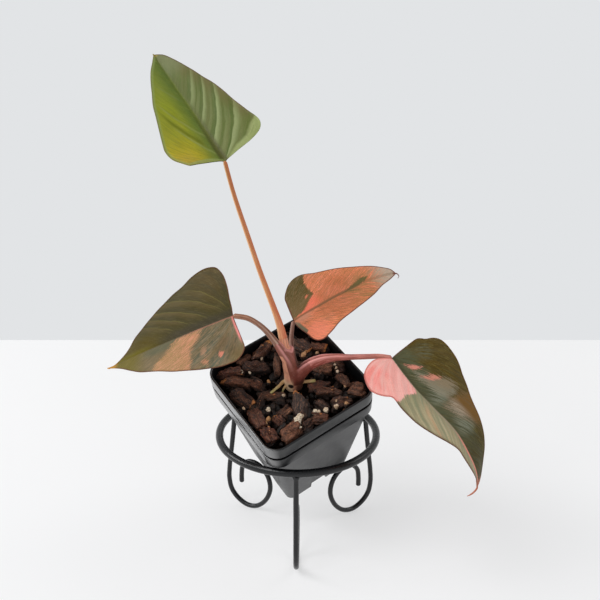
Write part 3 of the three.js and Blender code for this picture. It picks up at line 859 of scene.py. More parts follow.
def blade(name):
    """The blade's points and faces, and the fields that its colours follow."""
    shape = BLADES[name]
    flat, faces, rims = blade_net(shape)
    along, out = flat.T
    wide = out - rib_line(shape, along)
    off_rib = np.abs(wide)
    middle = blade_surface(shape, along, out)
    normals = blade_normals(shape, along, out)
    vein = vein_coordinate(shape, along, off_rib)
    edge = edge_distance(flat, rims)
    length_share = np.clip(along / shape["length"], 0, 1)

    # The blade is quilted between its veins and a little wavy. It thins out towards its edge, and
    # has a groove along the midrib on top and a ridge along it underneath.
    phase = 2 * math.pi * (vein / shape["vein_gap"] + VEIN_STAGGER * np.sign(wide))
    quilt = shape["relief"] * np.cos(phase) * smooth_step(edge, 0.5, 7) * smooth_step(off_rib, 0.5, 5)
    ripple = RIPPLE * rough(np.stack([along * 0.11, out * 0.11, 0 * out], 1), 1, len(name))
    lift = quilt + ripple * smooth_step(off_rib, 3, 12)
    half = BLADE_THICKNESS / 2 * (EDGE_SHARE + (1 - EDGE_SHARE) * smooth_step(edge, 0, 6))
    near_rib = bell(wide, RIB_WIDTH) * (1 - 0.8 * length_share)
    top = middle + normals * (lift + half - RIB_GROOVE * near_rib)[:, None]
    under = middle + normals * (lift - half - RIB_RIDGE * near_rib)[:, None]

    count = len(flat)
    all_faces = faces + [tuple(index + count for index in reversed(face)) for face in faces]
    for rim in rims:
        for a, b in zip(rim, rim[1:]):
            all_faces.append((a, b, b + count, a + count))
    fields = {field: np.tile(values, 2) for field, values in [
        ("along", along), ("wide", wide), ("edge", edge), ("vein", vein),
    ]}
    fields["under"] = np.repeat([0.0, 1.0], count)
    for patch, outline in PATCHES[name].items():
        fields[patch] = np.tile(inside_distance(flat, outline), 2)
    tail_points, tail_faces, tail_fields = tail(name, fields)
    all_faces += [tuple(index + 2 * count for index in face) for face in tail_faces]
    fields = {field: np.concatenate([fields[field], tail_fields[field]]) for field in fields}
    return np.concatenate([top, under, tail_points]), all_faces, fields


# Patches of other colours on the blades, each outlined by distances along the midrib and out from it.
PATCHES = {
    "blade_tall": {
        "pale": [(-4, 0), (0.5, 2), (4, 9), (6, 16), (13, 23), (17, 29), (-4, 32)],
    },
    "blade_left": {
        "salmon": [(19, -0.6), (33.5, -0.6), (38, -6), (45, -12), (52.5, -22), (28, -30), (26.5, -14),
                   (21, -6)],
        "spot": [(8.6, -19.6), (10.6, -19.2), (11.6, -21.2), (10.4, -23.2), (9, -22)],
        "dot": [(16.8, -22.4), (20.4, -21.2), (21, -22.8), (18, -24.6)],
        "fleck": [(18, -13), (20, -13.4), (20.4, -18), (18.6, -20), (17.4, -16)],
    },
    "blade_back": {
        "olive": [(17, -34), (17, -26), (15.6, -20), (16.2, -14), (17.6, -8.5), (13, -6), (8, -2),
                  (0, -0.8), (-6, -12), (-3, -34)],
        "island": [(12.6, -11), (15, -10.4), (14.2, -9), (11.6, -8)],
        "streak": [(31, 1.6), (38, -0.6), (44, -3.2), (48.5, -2.6), (46, -0.6), (41, 1.4), (36, 2)],
        "thread": [(34, 2), (42, 6.6), (42.6, 5.8), (36, 1.8)],
        "corner": [(0.6, 2), (4.4, 8), (5.6, 17), (3, 19), (-1, 8)],
    },
    "blade_right": {
        "lobe": [(-6, 0), (0, 0.3), (12, 2.7), (24, 4.4), (26.5, 7), (25, 13), (27, 20), (24, 26),
                 (10, 36), (-8, 24)],
        "blotch": [(7.6, -1.6), (14.6, -9), (14.8, -7), (13.6, -3.6)],
        "patch": [(19, -3.4), (22, -10), (25.6, -12.4), (24.4, -6)],
        "tan": [(24, -4), (26.6, -12), (31.4, -17), (33.4, -11), (29, -7)],
        "veil": [(15, -3), (21, -8), (30, -16), (37, -14), (37, -7), (30, -2.5), (20, -2)],
        "brown": [(38, -9), (38.6, -18), (42, -24), (53, -24), (57, -16), (47, -5.6), (40, -3)],
    },
}


# The thread that a blade's tip draws out into, by its way from the tip and its half width.
TAILS = {
    "blade_tall": [(0, 0, 0, 0.4), (-0.2, 0.1, 0.2, 0.3), (-0.4, 0.2, 0.3, 0.15)],
    "blade_left": [(0, 0, 0, 0.5), (-0.5, 0.1, 0, 0.35), (-1, 0.2, 0, 0.15)],
    "blade_back": [(0, 0, 0, 0.45), (1.1, 0.1, -0.7, 0.4), (1.6, 0, -1.9, 0.3), (0.9, -0.1, -2.9, 0.18)],
    "blade_right": [(0, 0, 0, 0.5), (-1.2, -0.2, -1.9, 0.5), (-2.9, -0.4, -3.4, 0.42),
                    (-4.8, -0.6, -4.4, 0.18)],
}
TAIL_ROOT = 2.2
TAIL_ROOT_WIDTH = 0.35
TAIL_FLATNESS = 0.6
TAIL_STEPS = 30
TAIL_SIDES = 12
OUTSIDE_PATCH = -9.0


def tail(name, fields):
    """The thread at a blade's tip: its points and faces, and the same fields as the blade has."""
    shape = BLADES[name]
    length = shape["length"]
    inside, tip = blade_surface(shape, np.array([length - TAIL_ROOT, length]), np.zeros(2))
    route = [(*(inside - tip), TAIL_ROOT_WIDTH)] + TAILS[name]
    centres, widths = stem_line(route, 0, len(route) - 1, TAIL_STEPS)
    rings = sweep(centres + tip, widths, widths * TAIL_FLATNESS, TAIL_SIDES)
    count = TAIL_STEPS * TAIL_SIDES
    tail_fields = {field: np.zeros(count) for field in fields}
    run = np.repeat(np.linspace(-TAIL_ROOT, TAIL_ROOT, TAIL_STEPS), TAIL_SIDES)
    tail_fields["along"] = length + run
    for patch in PATCHES[name]:
        tail_fields[patch] = np.full(count, OUTSIDE_PATCH)
    return rings.reshape(-1, 3), ring_faces(TAIL_STEPS, TAIL_SIDES), tail_fields


class Leaf(Shader):
    """A leaf's material. Its patterns follow the blade's midrib, veins and edge."""

    def __init__(self, name, colour):
        super().__init__(name, colour, 0.45, Specular_IOR_Level=0.12)
        self.along = self.field("along")
        self.wide = self.field("wide")
        self.edge = self.field("edge")
        self.vein = self.field("vein")
        self.out = self.calc("ABSOLUTE", self.wide)
        self.broad = self.veined(0.3, 0.05, 2)
        self.fibres = self.veined(1.1, 0.13, 4)
        self.marble = self.veined(0.75, 0.32, 4)
        self.threads = self.veined(3.6, 0.3, 3)
        self.cloud = self.grain(self.join(self.along, self.wide), 0.11, 2)
        self.speck = self.grain(self.join(self.along, self.wide, 3.0), 1.6, 4, 0.65)

    def veined(self, across, lengthwise, detail):
        """Noise that is drawn out along the veins, and another on each side of the midrib."""
        sided = self.times(self.calc("SIGN", self.wide), 5.0)
        vector = self.join(self.times(self.vein, across), self.times(self.out, lengthwise), sided)
        return self.grain(vector, 1, detail, 0.6)

    def near(self, along, wide, reach, inner=0.0):
        """1 near a place on the blade, falling to 0 at reach, in mm."""
        a = self.plus(self.along, -along)
        w = self.plus(self.wide, -wide)
        gap = self.calc("SQRT", self.plus(self.times(a, a), self.times(w, w)))
        return self.step(self.plus(gap, self.sway(self.cloud, reach * 0.5)), inner, reach, 1, 0)

    def side(self, sign, soft=0.5):
        """1 on one side of the midrib: the right for 1, the left for -1."""
        return self.step(self.times(self.wide, sign), -soft, soft)

    def patch(self, name, ragged=1.0, soft=0.3):
        """1 inside a patch, whose edge is torn along the veins, more for a larger ragged."""
        torn = self.plus(
            self.field(name),
            self.sway(self.fibres, 5 * ragged),
            self.sway(self.threads, 2.6 * ragged),
            self.sway(self.speck, 1.6 * ragged),
        )
        return self.step(torn, -soft, soft)

    def bent_vein(self, wander, fray):
        """The place where a vein leaves the midrib, made uneven by this many mm."""
        return self.plus(self.vein, self.sway(self.cloud, wander), self.sway(self.fibres, fray))

    def stroke(self, vein_at, width, near_out, far_out, wander=2.5):
        """A soft stripe along one vein, between two distances out from the midrib."""
        gap = self.calc("ABSOLUTE", self.plus(self.bent_vein(wander, 0.5 * wander), -vein_at))
        starts = self.off(near_out - 1.5, near_out + 2)
        ends = self.off(far_out + 2, far_out - 3)
        return self.times(self.step(gap, width, 0), starts, ends)

    def fold(self, vein_at, rise, fall, near_out, far_out):
        """A stripe along one vein that fades in on the petiole's side and out on the tip's."""
        bent = self.bent_vein(3.0, 1.6)
        fades_in = self.step(bent, vein_at - rise, vein_at)
        fades_out = self.step(bent, vein_at + fall, vein_at)
        starts = self.off(near_out - 1.5, near_out + 3)
        ends = self.off(far_out + 4, far_out - 5)
        return self.times(fades_in, fades_out, starts, ends)

    def past(self, low, high, start=0.0, end=1.0):
        """Rises from start to end between two distances along the midrib."""
        return self.step(self.along, low, high, start, end)

    def off(self, low, high, start=0.0, end=1.0):
        """Rises from start to end between two distances out from the midrib."""
        return self.step(self.out, low, high, start, end)

    def margin(self, width, share=1.0):
        return self.step(self.edge, width, width * 0.4, 0, share)

    def rib(self, width, most=1.0):
        return self.off(width, width * 0.3, 0, most)

    def close(self, underside, under_share=0.6):
        """Adds the fine mottling, the underside's own colour, the gloss and the bumps."""
        self.mottle((52, 46, 28), self.speck, 0.35, 0.75, 0.16)
        self.mottle((205, 190, 130), self.threads, 0.5, 0.8, 0.14)
        self.layer(underside, self.field("under"), under_share)
        self.set("Roughness", self.plus(self.times(self.speck, 0.2), 0.36))
        height = self.plus(self.times(self.threads, 0.5), self.times(self.fibres, 0.5))
        quilted = self.bump(height, 0.35, 0.45)
        cells = self.grain(self.where(), 2600, 2)
        self.set("Normal", self.bump(cells, 0.08, 0.35, quilted))
        return self.painted()


def green_leaf():
    s = Leaf("leaf_green", (102, 108, 58))
    left = s.side(-1, 1.5)
    right = s.side(1, 1.5)
    # The left half is yellow-green, ochre at its lobe, and green along the midrib.
    s.layer((142, 150, 36), left)
    s.layer((128, 140, 60), s.past(40, 70), left, 0.8)
    s.layer((178, 160, 40), s.near(2, -24, 34, 4), left)
    s.layer((182, 152, 62), s.near(-1, -21, 13, 1), left, 0.8)
    s.layer((146, 142, 44), s.near(30, -24, 22, 3), left, 0.55)
    s.layer((84, 108, 52), s.off(12, 2, 0, 0.85), left)
    s.mottle((104, 116, 34), s.fibres, 0.46, 0.62, 0.5, left)
    s.mottle((150, 152, 60), s.threads, 0.5, 0.64, 0.4, left)
    s.layer((92, 102, 18), s.stroke(8, 5, 5, 18), left, 0.7)
    s.layer((142, 152, 88), s.stroke(3.5, 2.6, 2, 15), left, 0.55)
    s.layer((146, 154, 88), s.stroke(18, 2.6, 2, 17), left, 0.5)
    s.layer((136, 148, 88), s.stroke(46, 2.2, 3, 11), left, 0.35)
    # The right half is grey-olive. Its folds along the veins are painted with light: a pale highlight on
    # each fold, and painted shade on its darker side.
    s.mottle((88, 102, 44), s.broad, 0.42, 0.6, 0.7, right)
    s.layer((106, 94, 56), s.step(s.edge, 8, 1, 0, 0.6), right, s.past(10, 25))
    for vein_at, rise, far_out, share in [
        (-5, 9, 21, 0.85), (4.5, 4, 15, 0.2), (14, 7, 18, 0.9), (22, 4, 13, 0.15), (29.5, 4.5, 15, 0.75),
        (36.5, 4, 11, 0.2), (43, 6, 12, 0.65),
    ]:
        s.layer((68, 90, 30), s.fold(vein_at + 1.2, 1, 6, 1, far_out), right, 0.8 * share)
        s.layer((143, 153, 103), s.fold(vein_at, rise, 1.2, 1, far_out), right, share)
    pale = s.step(s.plus(s.field("pale"), s.sway(s.cloud, 3)), -0.8, 1.6)
    s.layer((156, 166, 110), pale, right, 0.9)
    s.mottle((122, 130, 76), s.fibres, 0.45, 0.62, 0.6, pale, right)
    s.layer((134, 146, 84), pale, right, s.step(s.edge, 5, 1, 0, 0.5))
    s.layer((74, 72, 38), s.rib(3, 0.75), s.past(50, 4, 0.1, 1))
    # Painted sheen: a pale grey-green patch right of the tip.
    s.layer((124, 132, 92), s.near(76, 4, 15, 2), right, 0.7)
    s.layer((190, 168, 70), s.past(81.4, 83.6))
    s.layer((142, 156, 92), s.margin(2, 0.7), left)
    s.layer((96, 66, 46), s.margin(0.6, 0.8), right, s.past(12, 24))
    s.layer((140, 106, 60), s.margin(0.35, 0.5), left)
    return s.close((134, 128, 84), 0.5)


def olive_leaf():
    s = Leaf("leaf_olive", (64, 57, 20))
    upper = s.side(1)
    lower = s.side(-1)
    # The upper half is dark olive-brown, with paler arcs and a yellow-green end.
    s.layer((84, 66, 30), s.near(6, 29, 24, 2), upper, 0.7)
    s.mottle((62, 56, 28), s.broad, 0.46, 0.6, 0.5, upper)
    s.mottle((90, 76, 38), s.marble, 0.5, 0.64, 0.35, upper)
    for vein_at, rise, far_out, share in [
        (-12, 1.2, 24, 0.4), (-3, 1, 26, 0.6), (9, 1.2, 26, 0.7), (19.5, 1, 22, 0.55), (29, 0.8, 18, 0.45),
    ]:
        s.layer((95, 79, 40), s.fold(vein_at, rise, 7, 6, far_out), upper, share)
        s.layer((120, 110, 52), s.fold(vein_at - 1, 0.5, 0.9, 5, far_out), upper, 0.5)
    s.layer((82, 68, 0), s.past(34, 52), s.off(14, 5), upper, 0.85)
    s.layer((104, 94, 2), s.past(44, 58), s.off(4, 1), upper, 0.8)
    s.layer((84, 74, 18), s.past(56, 70), s.off(3, 7), upper, 0.6)
    s.layer((62, 56, 42), s.rib(6, 0.75), upper, s.past(48, 30))
    # The lower half is grey-brown, streaked from the petiole, with a salmon sector.
    s.layer((120, 104, 76), lower)
    s.mottle((78, 80, 62), s.broad, 0.44, 0.54, 0.9, lower, s.past(34, 22))
    s.mottle((70, 72, 54), s.fibres, 0.4, 0.54, 0.8, s.near(14, -9, 13, 3), lower)
    s.mottle((84, 82, 60), s.fibres, 0.44, 0.58, 0.5, lower)
    for vein_at, width, colour in [
        (-26, 4, (134, 120, 92)), (-19, 3.4, (100, 104, 86)), (-11, 3, (112, 92, 58)),
        (-5.5, 2.6, (96, 102, 84)), (1, 2.4, (86, 78, 46)), (6, 2.2, (92, 100, 84)), (11, 2, (124, 104, 74)),
    ]:
        s.layer(colour, s.stroke(vein_at, width, 2, 30, 3), lower, s.past(34, 26), 0.6)
    s.mottle((142, 116, 90), s.marble, 0.5, 0.58, 0.6, lower, s.past(34, 24))
    s.mottle((152, 126, 92), s.threads, 0.5, 0.64, 0.6, lower)
    s.layer((104, 84, 44), s.near(0, -25, 10, 1), lower, 0.8)
    s.layer((88, 64, 32), s.near(6, -17, 9, 2), lower, 0.45)
    s.layer((94, 94, 72), s.past(30, 36), s.past(60, 48), s.off(8, 4), lower, 0.8)
    s.layer((108, 98, 28), s.past(50, 62), lower, 0.8)
    salmon = s.times(s.patch("salmon", 2.2, 0.6), lower)
    s.layer((182, 138, 98), salmon)
    s.layer((208, 138, 108), salmon, s.step(s.plus(s.along, s.times(s.cloud, 8)), 42, 27, 0, 0.9))
    s.mottle((156, 126, 82), s.marble, 0.47, 0.56, 0.7, salmon)
    s.mottle((212, 150, 120), s.marble, 0.46, 0.38, 0.6, salmon)
    s.mottle((146, 114, 70), s.fibres, 0.5, 0.6, 0.6, salmon)
    s.mottle((132, 106, 64), s.threads, 0.5, 0.6, 0.7, salmon)
    s.mottle((222, 156, 124), s.speck, 0.5, 0.64, 0.6, salmon)
    s.layer((212, 128, 104), s.patch("spot", 0.7), lower, 0.9)
    s.layer((190, 130, 98), s.patch("dot", 1.1), lower, 0.8)
    s.layer((178, 134, 104), s.patch("fleck", 1.6), lower, 0.7)
    line = s.times(s.step(s.wide, -0.9, -0.3), s.step(s.wide, 0.4, 0))
    s.layer((178, 112, 94), line, s.past(36, 20, 0, 0.5))
    s.layer((232, 138, 132), s.margin(1.9), lower, s.past(2.5, -0.5), s.off(20, 13))
    s.layer((104, 56, 40), s.margin(0.55, 0.85))
    s.layer((196, 138, 48), s.past(69, 75))
    return s.close((132, 96, 78))


def coral_leaf():
    s = Leaf("leaf_coral", (240, 138, 98))
    upper = s.side(-1)
    lower = s.side(1)
    s.mottle((250, 150, 118), s.cloud, 0.42, 0.66, 0.7)
    s.mottle((228, 126, 84), s.broad, 0.46, 0.6, 0.5)
    s.mottle((196, 128, 76), s.fibres, 0.48, 0.62, 0.6)
    s.mottle((178, 120, 74), s.marble, 0.5, 0.6, 0.4)
    s.layer((168, 92, 62), s.near(29, 1, 19, 7), 0.4)
    s.mottle((112, 70, 40), s.threads, 0.48, 0.6, 0.9, lower)
    s.mottle((134, 84, 48), s.threads, 0.5, 0.62, 0.8, upper)
    s.mottle((156, 112, 66), s.speck, 0.5, 0.62, 0.4, s.past(10, 24))
    s.mottle((140, 114, 70), s.fibres, 0.42, 0.58, 0.6, s.near(46, 6, 20, 4))
    s.mottle((156, 122, 84), s.fibres, 0.44, 0.6, 0.5, s.near(50, -5, 16, 3))
    s.layer((184, 172, 154), s.step(s.plus(s.along, s.times(s.fibres, 14)), 54, 68, 0, 0.85))
    s.layer((248, 140, 112), s.near(10, 21, 12, 3), lower, 0.6)
    s.layer((242, 116, 90), s.near(11, -4.5, 11, 3), upper, 0.75)
    olive = s.patch("olive", 0.75)
    s.layer((110, 88, 48), olive)
    s.layer((82, 66, 6), olive, s.near(9, -29, 27, 8))
    s.mottle((92, 86, 50), s.fibres, 0.46, 0.62, 0.6, olive)
    s.mottle((150, 114, 84), s.threads, 0.5, 0.62, 0.65, olive)
    s.layer((210, 118, 84), s.patch("island", 0.5))
    s.layer((92, 90, 50), s.patch("streak", 0.7), 0.9)
    s.layer((106, 98, 56), s.patch("thread", 0.5), 0.8)
    s.layer((112, 104, 80), s.patch("corner", 0.35), s.step(s.edge, 2.6, 2))
    s.layer((112, 86, 58), s.rib(1.5, 0.8), s.past(46, 28, 0.4, 1))
    s.layer((200, 140, 114), s.near(6, 1.8, 8, 1), lower, 0.7)
    s.layer((106, 58, 44), s.margin(0.7, 0.9))
    s.layer((128, 82, 74), s.past(62, 64))
    return s.close((172, 102, 80), 0.45)


def pink_leaf():
    s = Leaf("leaf_pink", (90, 90, 62))
    upper = s.side(-1, 0.4)
    lower = s.side(1, 0.4)
    # The upper half is dark olive, greyer along the midrib, with fine yellow veins.
    ragged_out = s.plus(s.out, s.sway(s.fibres, 16))
    s.layer((84, 66, 18), s.step(ragged_out, 9, 14), upper)
    s.layer((74, 58, 6), s.past(52, 66), upper, 0.85)
    s.mottle((68, 58, 22), s.broad, 0.44, 0.58, 0.6, upper)
    s.mottle((98, 88, 52), s.marble, 0.5, 0.62, 0.4, upper)
    s.mottle((70, 76, 58), s.fibres, 0.6, 0.44, 0.55, upper, s.off(16, 8))
    s.mottle((128, 112, 46), s.threads, 0.56, 0.66, 0.6, upper, s.off(6, 12))
    s.mottle((96, 98, 78), s.fibres, 0.4, 0.6, 0.8, s.near(6, -18, 9, 2))
    s.mottle((132, 134, 116), s.fibres, 0.4, 0.54, 0.8, s.near(33, -7, 8, 2), upper)
    s.mottle((134, 136, 116), s.fibres, 0.4, 0.54, 0.85, s.near(52, -8, 8, 2), upper)
    s.layer((142, 134, 114), s.patch("veil", 3.6, 0.6), upper, 0.75)
    s.layer((140, 122, 96), s.patch("tan", 3.4, 0.6), upper, 0.8)
    brown = s.times(s.patch("brown", 4.4, 0.8), upper)
    s.layer((174, 156, 134), brown)
    s.layer((122, 84, 30), brown, s.off(11, 16))
    s.mottle((108, 86, 54), s.fibres, 0.5, 0.62, 0.7, brown)
    s.mottle((92, 68, 34), s.threads, 0.5, 0.62, 0.7, brown)
    s.layer((214, 136, 118), s.patch("blotch", 1.2), upper)
    s.layer((206, 134, 114), s.patch("patch", 1.7), upper)
    # The lower half is beige-olive, greyer along the midrib and darker towards its edge.
    s.layer((188, 176, 140), lower)
    s.layer((154, 152, 118), s.past(42, 26), lower, 0.8)
    s.layer((146, 146, 120), s.off(8, 1, 0, 0.6), lower)
    s.mottle((172, 146, 104), s.fibres, 0.46, 0.62, 0.6, lower)
    s.mottle((124, 128, 98), s.broad, 0.46, 0.6, 0.5, lower)
    s.mottle((184, 160, 128), s.marble, 0.5, 0.62, 0.4, lower)
    s.layer((124, 130, 100), s.stroke(20, 4, 3, 16, 4), lower, 0.7)
    s.layer((196, 152, 116), s.stroke(30, 2.6, 3, 16, 4), lower, 0.55)
    s.layer((134, 140, 108), s.stroke(37, 2.4, 2, 14, 4), lower, 0.5)
    s.layer((98, 82, 50), s.step(s.edge, 2, 0.3, 0, 0.65), lower)
    lobe = s.times(s.patch("lobe", 0.8), lower)
    s.layer((255, 178, 168), lobe)
    s.layer((252, 138, 130), lobe, s.near(9, 19, 12, 3), 0.85)
    s.layer((254, 182, 170), lobe, s.near(14, 15, 5.5, 1), 0.7)
    s.mottle((255, 196, 186), s.broad, 0.44, 0.6, 0.6, lobe)
    s.mottle((246, 158, 144), s.fibres, 0.5, 0.64, 0.4, lobe)
    s.mottle((255, 208, 196), s.threads, 0.54, 0.68, 0.3, lobe)
    s.layer((224, 124, 114), lobe, s.margin(1.2, 0.8))
    rib = s.times(s.rib(0.85), s.past(24, 40))
    s.layer((170, 154, 128), rib, 0.8)
    s.layer((232, 146, 128), rib, s.past(50, 62))
    s.layer((66, 66, 46), s.rib(3, 0.75), s.past(36, 20), upper)
    s.layer((100, 56, 38), s.margin(0.6, 0.9), s.calc("SUBTRACT", 1.0, lobe))
    s.layer((190, 118, 94), s.past(79, 84))
    return s.close((140, 100, 80))


def make_blades():
    for name, slot, material in [
        ("blade_tall", "leaf_green", green_leaf()),
        ("blade_left", "leaf_olive", olive_leaf()),
        ("blade_back", "leaf_coral", coral_leaf()),
        ("blade_right", "leaf_pink", pink_leaf()),
    ]:
        piece = add_mesh(name + "_leaf", *blade(name))
        finish_piece(piece, material, slot, name)


# Each petiole's route from the crown to its blade, with the radius at each point, in the stand's
# frame. Up to its joint, a place counted in route points, it is grown together with the crown. It is
# flat by this much wider than deep. Its upper side is grooved, at groove_at degrees round it, up to
# the place groove_end. The colours run from the crown's end to the blade's.
# painted_light_side paints each stalk paler on its side towards -X, as if lit, and darker on the other side,
# as painted shade.
STEMS = {
    "petiole_tall": dict(
        joint=3.4, flat=1, slot="stem_orange", painted_light_side=0.7, groove_at=75, groove_end=6, groove=0.5,
        colours=((226, 150, 112), (196, 128, 80), (162, 108, 58)), dark=(196, 100, 70), pale=(236, 190, 142),
        route=[
            (-1.9, -11.7, 99.6, 3.2), (-4.4, -15.2, 108.6, 3), (-6.2, -19.6, 121.4, 2.7),
            (-7.4, -22, 130.6, 2.5), (-9.6, -23.6, 141.6, 1.9), (-12.4, -24.9, 150.9, 1.6),
            (-19.2, -26.8, 171.6, 1.35), (-25, -27.6, 190.6, 1.25), (-31.6, -28, 212.6, 1.1),
            (-35.5, -28, 228.6, 1.05),
        ],
    ),
    "petiole_left": dict(
        joint=3.8, flat=1.12, slot="stem_mauve", painted_light_side=0.2, groove_at=-25, groove_end=7, groove=1,
        colours=((120, 78, 62), (138, 98, 78), (166, 114, 86)), dark=(96, 60, 46), pale=(204, 172, 156),
        route=[
            (-1.7, -12.3, 99.8, 3.2), (-3.2, -16.4, 108.4, 3.2), (-5.2, -22.6, 119.6, 2.8),
            (-8.2, -25.4, 126.4, 2.3), (-12.4, -25.2, 132.8, 1.6), (-17.6, -24.2, 138.9, 1.35),
            (-21.8, -23.4, 142.2, 1.3), (-26.6, -22.6, 144.6, 1.3), (-34.2, -22, 145.7, 1.25),
        ],
    ),
    "petiole_back": dict(
        joint=1.2, flat=1, slot="stem_mauve", painted_light_side=0.5, groove_at=-60, groove_end=4.5, groove=0.8,
        colours=((104, 66, 54), (130, 88, 74), (166, 126, 108)), dark=(88, 52, 42), pale=(186, 148, 132),
        route=[
            (-1.3, -10.6, 99.6, 2.8), (-1, -9.4, 109.6, 1.9), (-2.6, -7.6, 116.6, 1.5),
            (-3.6, -4, 124, 1.25), (-3.1, -0.6, 129.6, 1.15), (-2.3, 2, 133.5, 1.1),
        ],
    ),
    "petiole_right": dict(
        joint=3, flat=1.2, slot="stem_pink", painted_light_side=0.08, groove_at=166, groove_end=7.5, groove=1.3,
        colours=((154, 76, 64), (170, 94, 82), (192, 120, 102)), dark=(122, 58, 50), pale=(244, 172, 164),
        route=[
            (-1.4, -12.1, 99.8, 3.3), (0.2, -15.7, 107.4, 3.4), (3.6, -18.4, 113.2, 3),
            (8, -20.2, 117.4, 2.7), (13.6, -21.3, 120.2, 2.4), (20.2, -22.4, 121.8, 1.8),
            (28.2, -23.6, 122.6, 1.4), (36.4, -24.6, 123.3, 1.3), (44, -25.4, 123.8, 1.25),
            (50.4, -26, 123.2, 1.2),
        ],
    ),
}
STEM_OVERLAP = 0.12
STALK_STEPS = 130
STALK_SIDES = 28
STALK_FOOT_STEPS = 70
GROOVE_START = 1.2
END_ROUNDING = 1.3
END_NARROWING = 0.6
LIP_ANGLE = 0.72
LIP_RISE = 0.16
STALK_GROOVE = 0.34

# The left petiole's sheath wraps the front of the tall one, and ends in a thin wavy lip.
SHEATH = [
    (-2.2, -13.5, 104, 3.4), (-3.4, -16.5, 110, 3.6), (-5, -20.5, 120, 3.7), (-6.2, -22.8, 128.2, 3.75),
]
SHEATH_DEPTH = 0.86
SHEATH_WALL = 0.55
SHEATH_STEPS = 70
SHEATH_SIDES = 36
LIP_FLARE = 0.05
ROOTS = [
    [(-3.4, -13.2, 102.6, 1.3), (-7.1, -12.9, 103.5, 1.1), (-10.3, -16.8, 102.3, 0.9),
     (-14.9, -20.6, 99.8, 0.7)],
    [(-0.6, -13, 102.4, 1), (4.6, -15.1, 104.2, 0.95), (9.9, -14.8, 104.7, 0.9)],
    [(-3.2, -13.2, 101.6, 1.2), (-6.6, -15, 101.4, 0.8), (-8.6, -14.8, 97.6, 0.6)],
]
ROOT_STEPS = 40
ROOT_SIDES = 16
ROOT_KNOTS = 0.12
# The crown's foot stands in the mix at CROWN_AXIS, in the pot's frame, by height and radius.
CROWN_AXIS = (2.2, 0.7)
CROWN_FOOT = [(-22, 3.3), (-10.4, 3.4), (-9.2, 4.4), (-7.6, 5), (-3, 4.9), (2, 4.6), (6, 3.8), (9, 3)]
CROWN_SCAR = np.array([-3.7, -17.8, 102.5])
# The tall stem shows as a strip on the crown's left, up to this X at each height.
STRIP_EDGE = [(103, -2.4), (107, -3.9), (114, -5.2), (121, -6.2), (124.5, -8.2)]
FOOT_STEPS = 60
FOOT_SIDES = 32
CROWN_GRAIN = 0.3
CROWN_SMOOTHING = 3
NEAREST_POINTS = 4


def stem_line(route, start, end, steps):
    """Centres and radii along a part of a route, with places counted in its points."""
    places = np.linspace(start, end, steps)
    centres = np.array([route_point([p[:3] for p in route], place_on) for place_on in places])
    radii = np.interp(places, np.arange(len(route)), [p[3] for p in route])
    return centres, radii


def stem_tube(stem, start, end, steps):
    """Rings of a petiole from one place on its route to another, and the fields of its colours."""
    centres, radii = stem_line(stem["route"], start, end, steps)
    last = len(stem["route"]) - 1
    if end == last:
        to_end = np.linalg.norm(centres - centres[-1], axis=1)
        radii = radii * (1 - END_NARROWING * smooth_step(-to_end, -END_ROUNDING, 0) ** 2)

    def depth(share):
        place_on = start + (end - start) * share
        opened = smooth_step(place_on, GROOVE_START, GROOVE_START + 1.5)
        return stem["groove"] * opened * (1 - 0.85 * smooth_step(place_on, 2.5, stem["groove_end"]))

    def off_groove(angles):
        turned = angles - math.radians(stem["groove_at"]) + math.pi
        return np.abs(turned % (2 * math.pi) - math.pi)

    def dent(share, angles):
        off = off_groove(angles)
        lips = bell(off - LIP_ANGLE, 0.26)
        return 1 + depth(share) * (LIP_RISE * lips - STALK_GROOVE * bell(off, 0.45))

    rings = sweep(centres, radii * stem["flat"], radii, STALK_SIDES, dent)
    angles = circle(STALK_SIDES)
    lip = bell(off_groove(angles) - LIP_ANGLE, 0.24)
    fields = {
        "run": np.repeat(np.linspace(start, end, steps) / last, STALK_SIDES),
        "round_x": np.tile(np.cos(angles), steps),
        "round_y": np.tile(np.sin(angles), steps),
        "lip": np.concatenate([lip * depth(share) for share in np.linspace(0, 1, steps)]),
    }
    return rings, fields


def stem_shader(name, colour, roughness):
    """A stalk's skin, with fine lengthwise streaks and specks to build its colours from."""
    s = Shader(name, colour, roughness, Specular_IOR_Level=0.24)
    where = s.where()
    run = s.times(s.field("run"), 9)
    s.streaks = s.grain(
        s.join(run, s.times(s.field("round_x"), 2.4), s.times(s.field("round_y"), 2.4)), 1.3, 4, 0.6
    )
    s.blotches = s.grain(where, 170, 3)
    s.specks = s.grain(where, 1500, 3, 0.6)
    height = s.plus(s.times(s.streaks, 0.7), s.times(s.specks, 0.3))
    s.set("Normal", s.bump(height, 0.3, 0.5))
    s.set("Roughness", s.plus(s.times(s.blotches, 0.25), roughness - 0.1))
    return s


def petiole_material(name, stem):
    low, middle, high = stem["colours"]
    dark = stem["dark"]
    pale = stem["pale"]
    painted_light_side = stem["painted_light_side"]
    s = stem_shader(name + "_skin", low, 0.46)
    run = s.field("run")
    across = s.field("round_x")
    s.layer(middle, s.step(run, 0.3, 0.62))
    s.layer(high, s.step(run, 0.6, 1.0))
    s.mottle(dark, s.streaks, 0.42, 0.68, 0.65)
    s.mottle(pale, s.streaks, 0.5, 0.3, 0.35)
    s.mottle(dark, s.blotches, 0.5, 0.75, 0.3)
    s.layer(pale, s.field("lip"), 0.9)
    # Painted light and shade: paler where round_x is below 0, the side towards -X where the lamps are, and
    # darker on the other side.
    s.mottle(pale, across, -0.2, -0.8, painted_light_side)
    s.mottle(dark, across, 0.1, 0.8, painted_light_side * 0.6)
    s.mottle(pale, s.specks, 0.55, 0.8, 0.2)
    return s.painted()


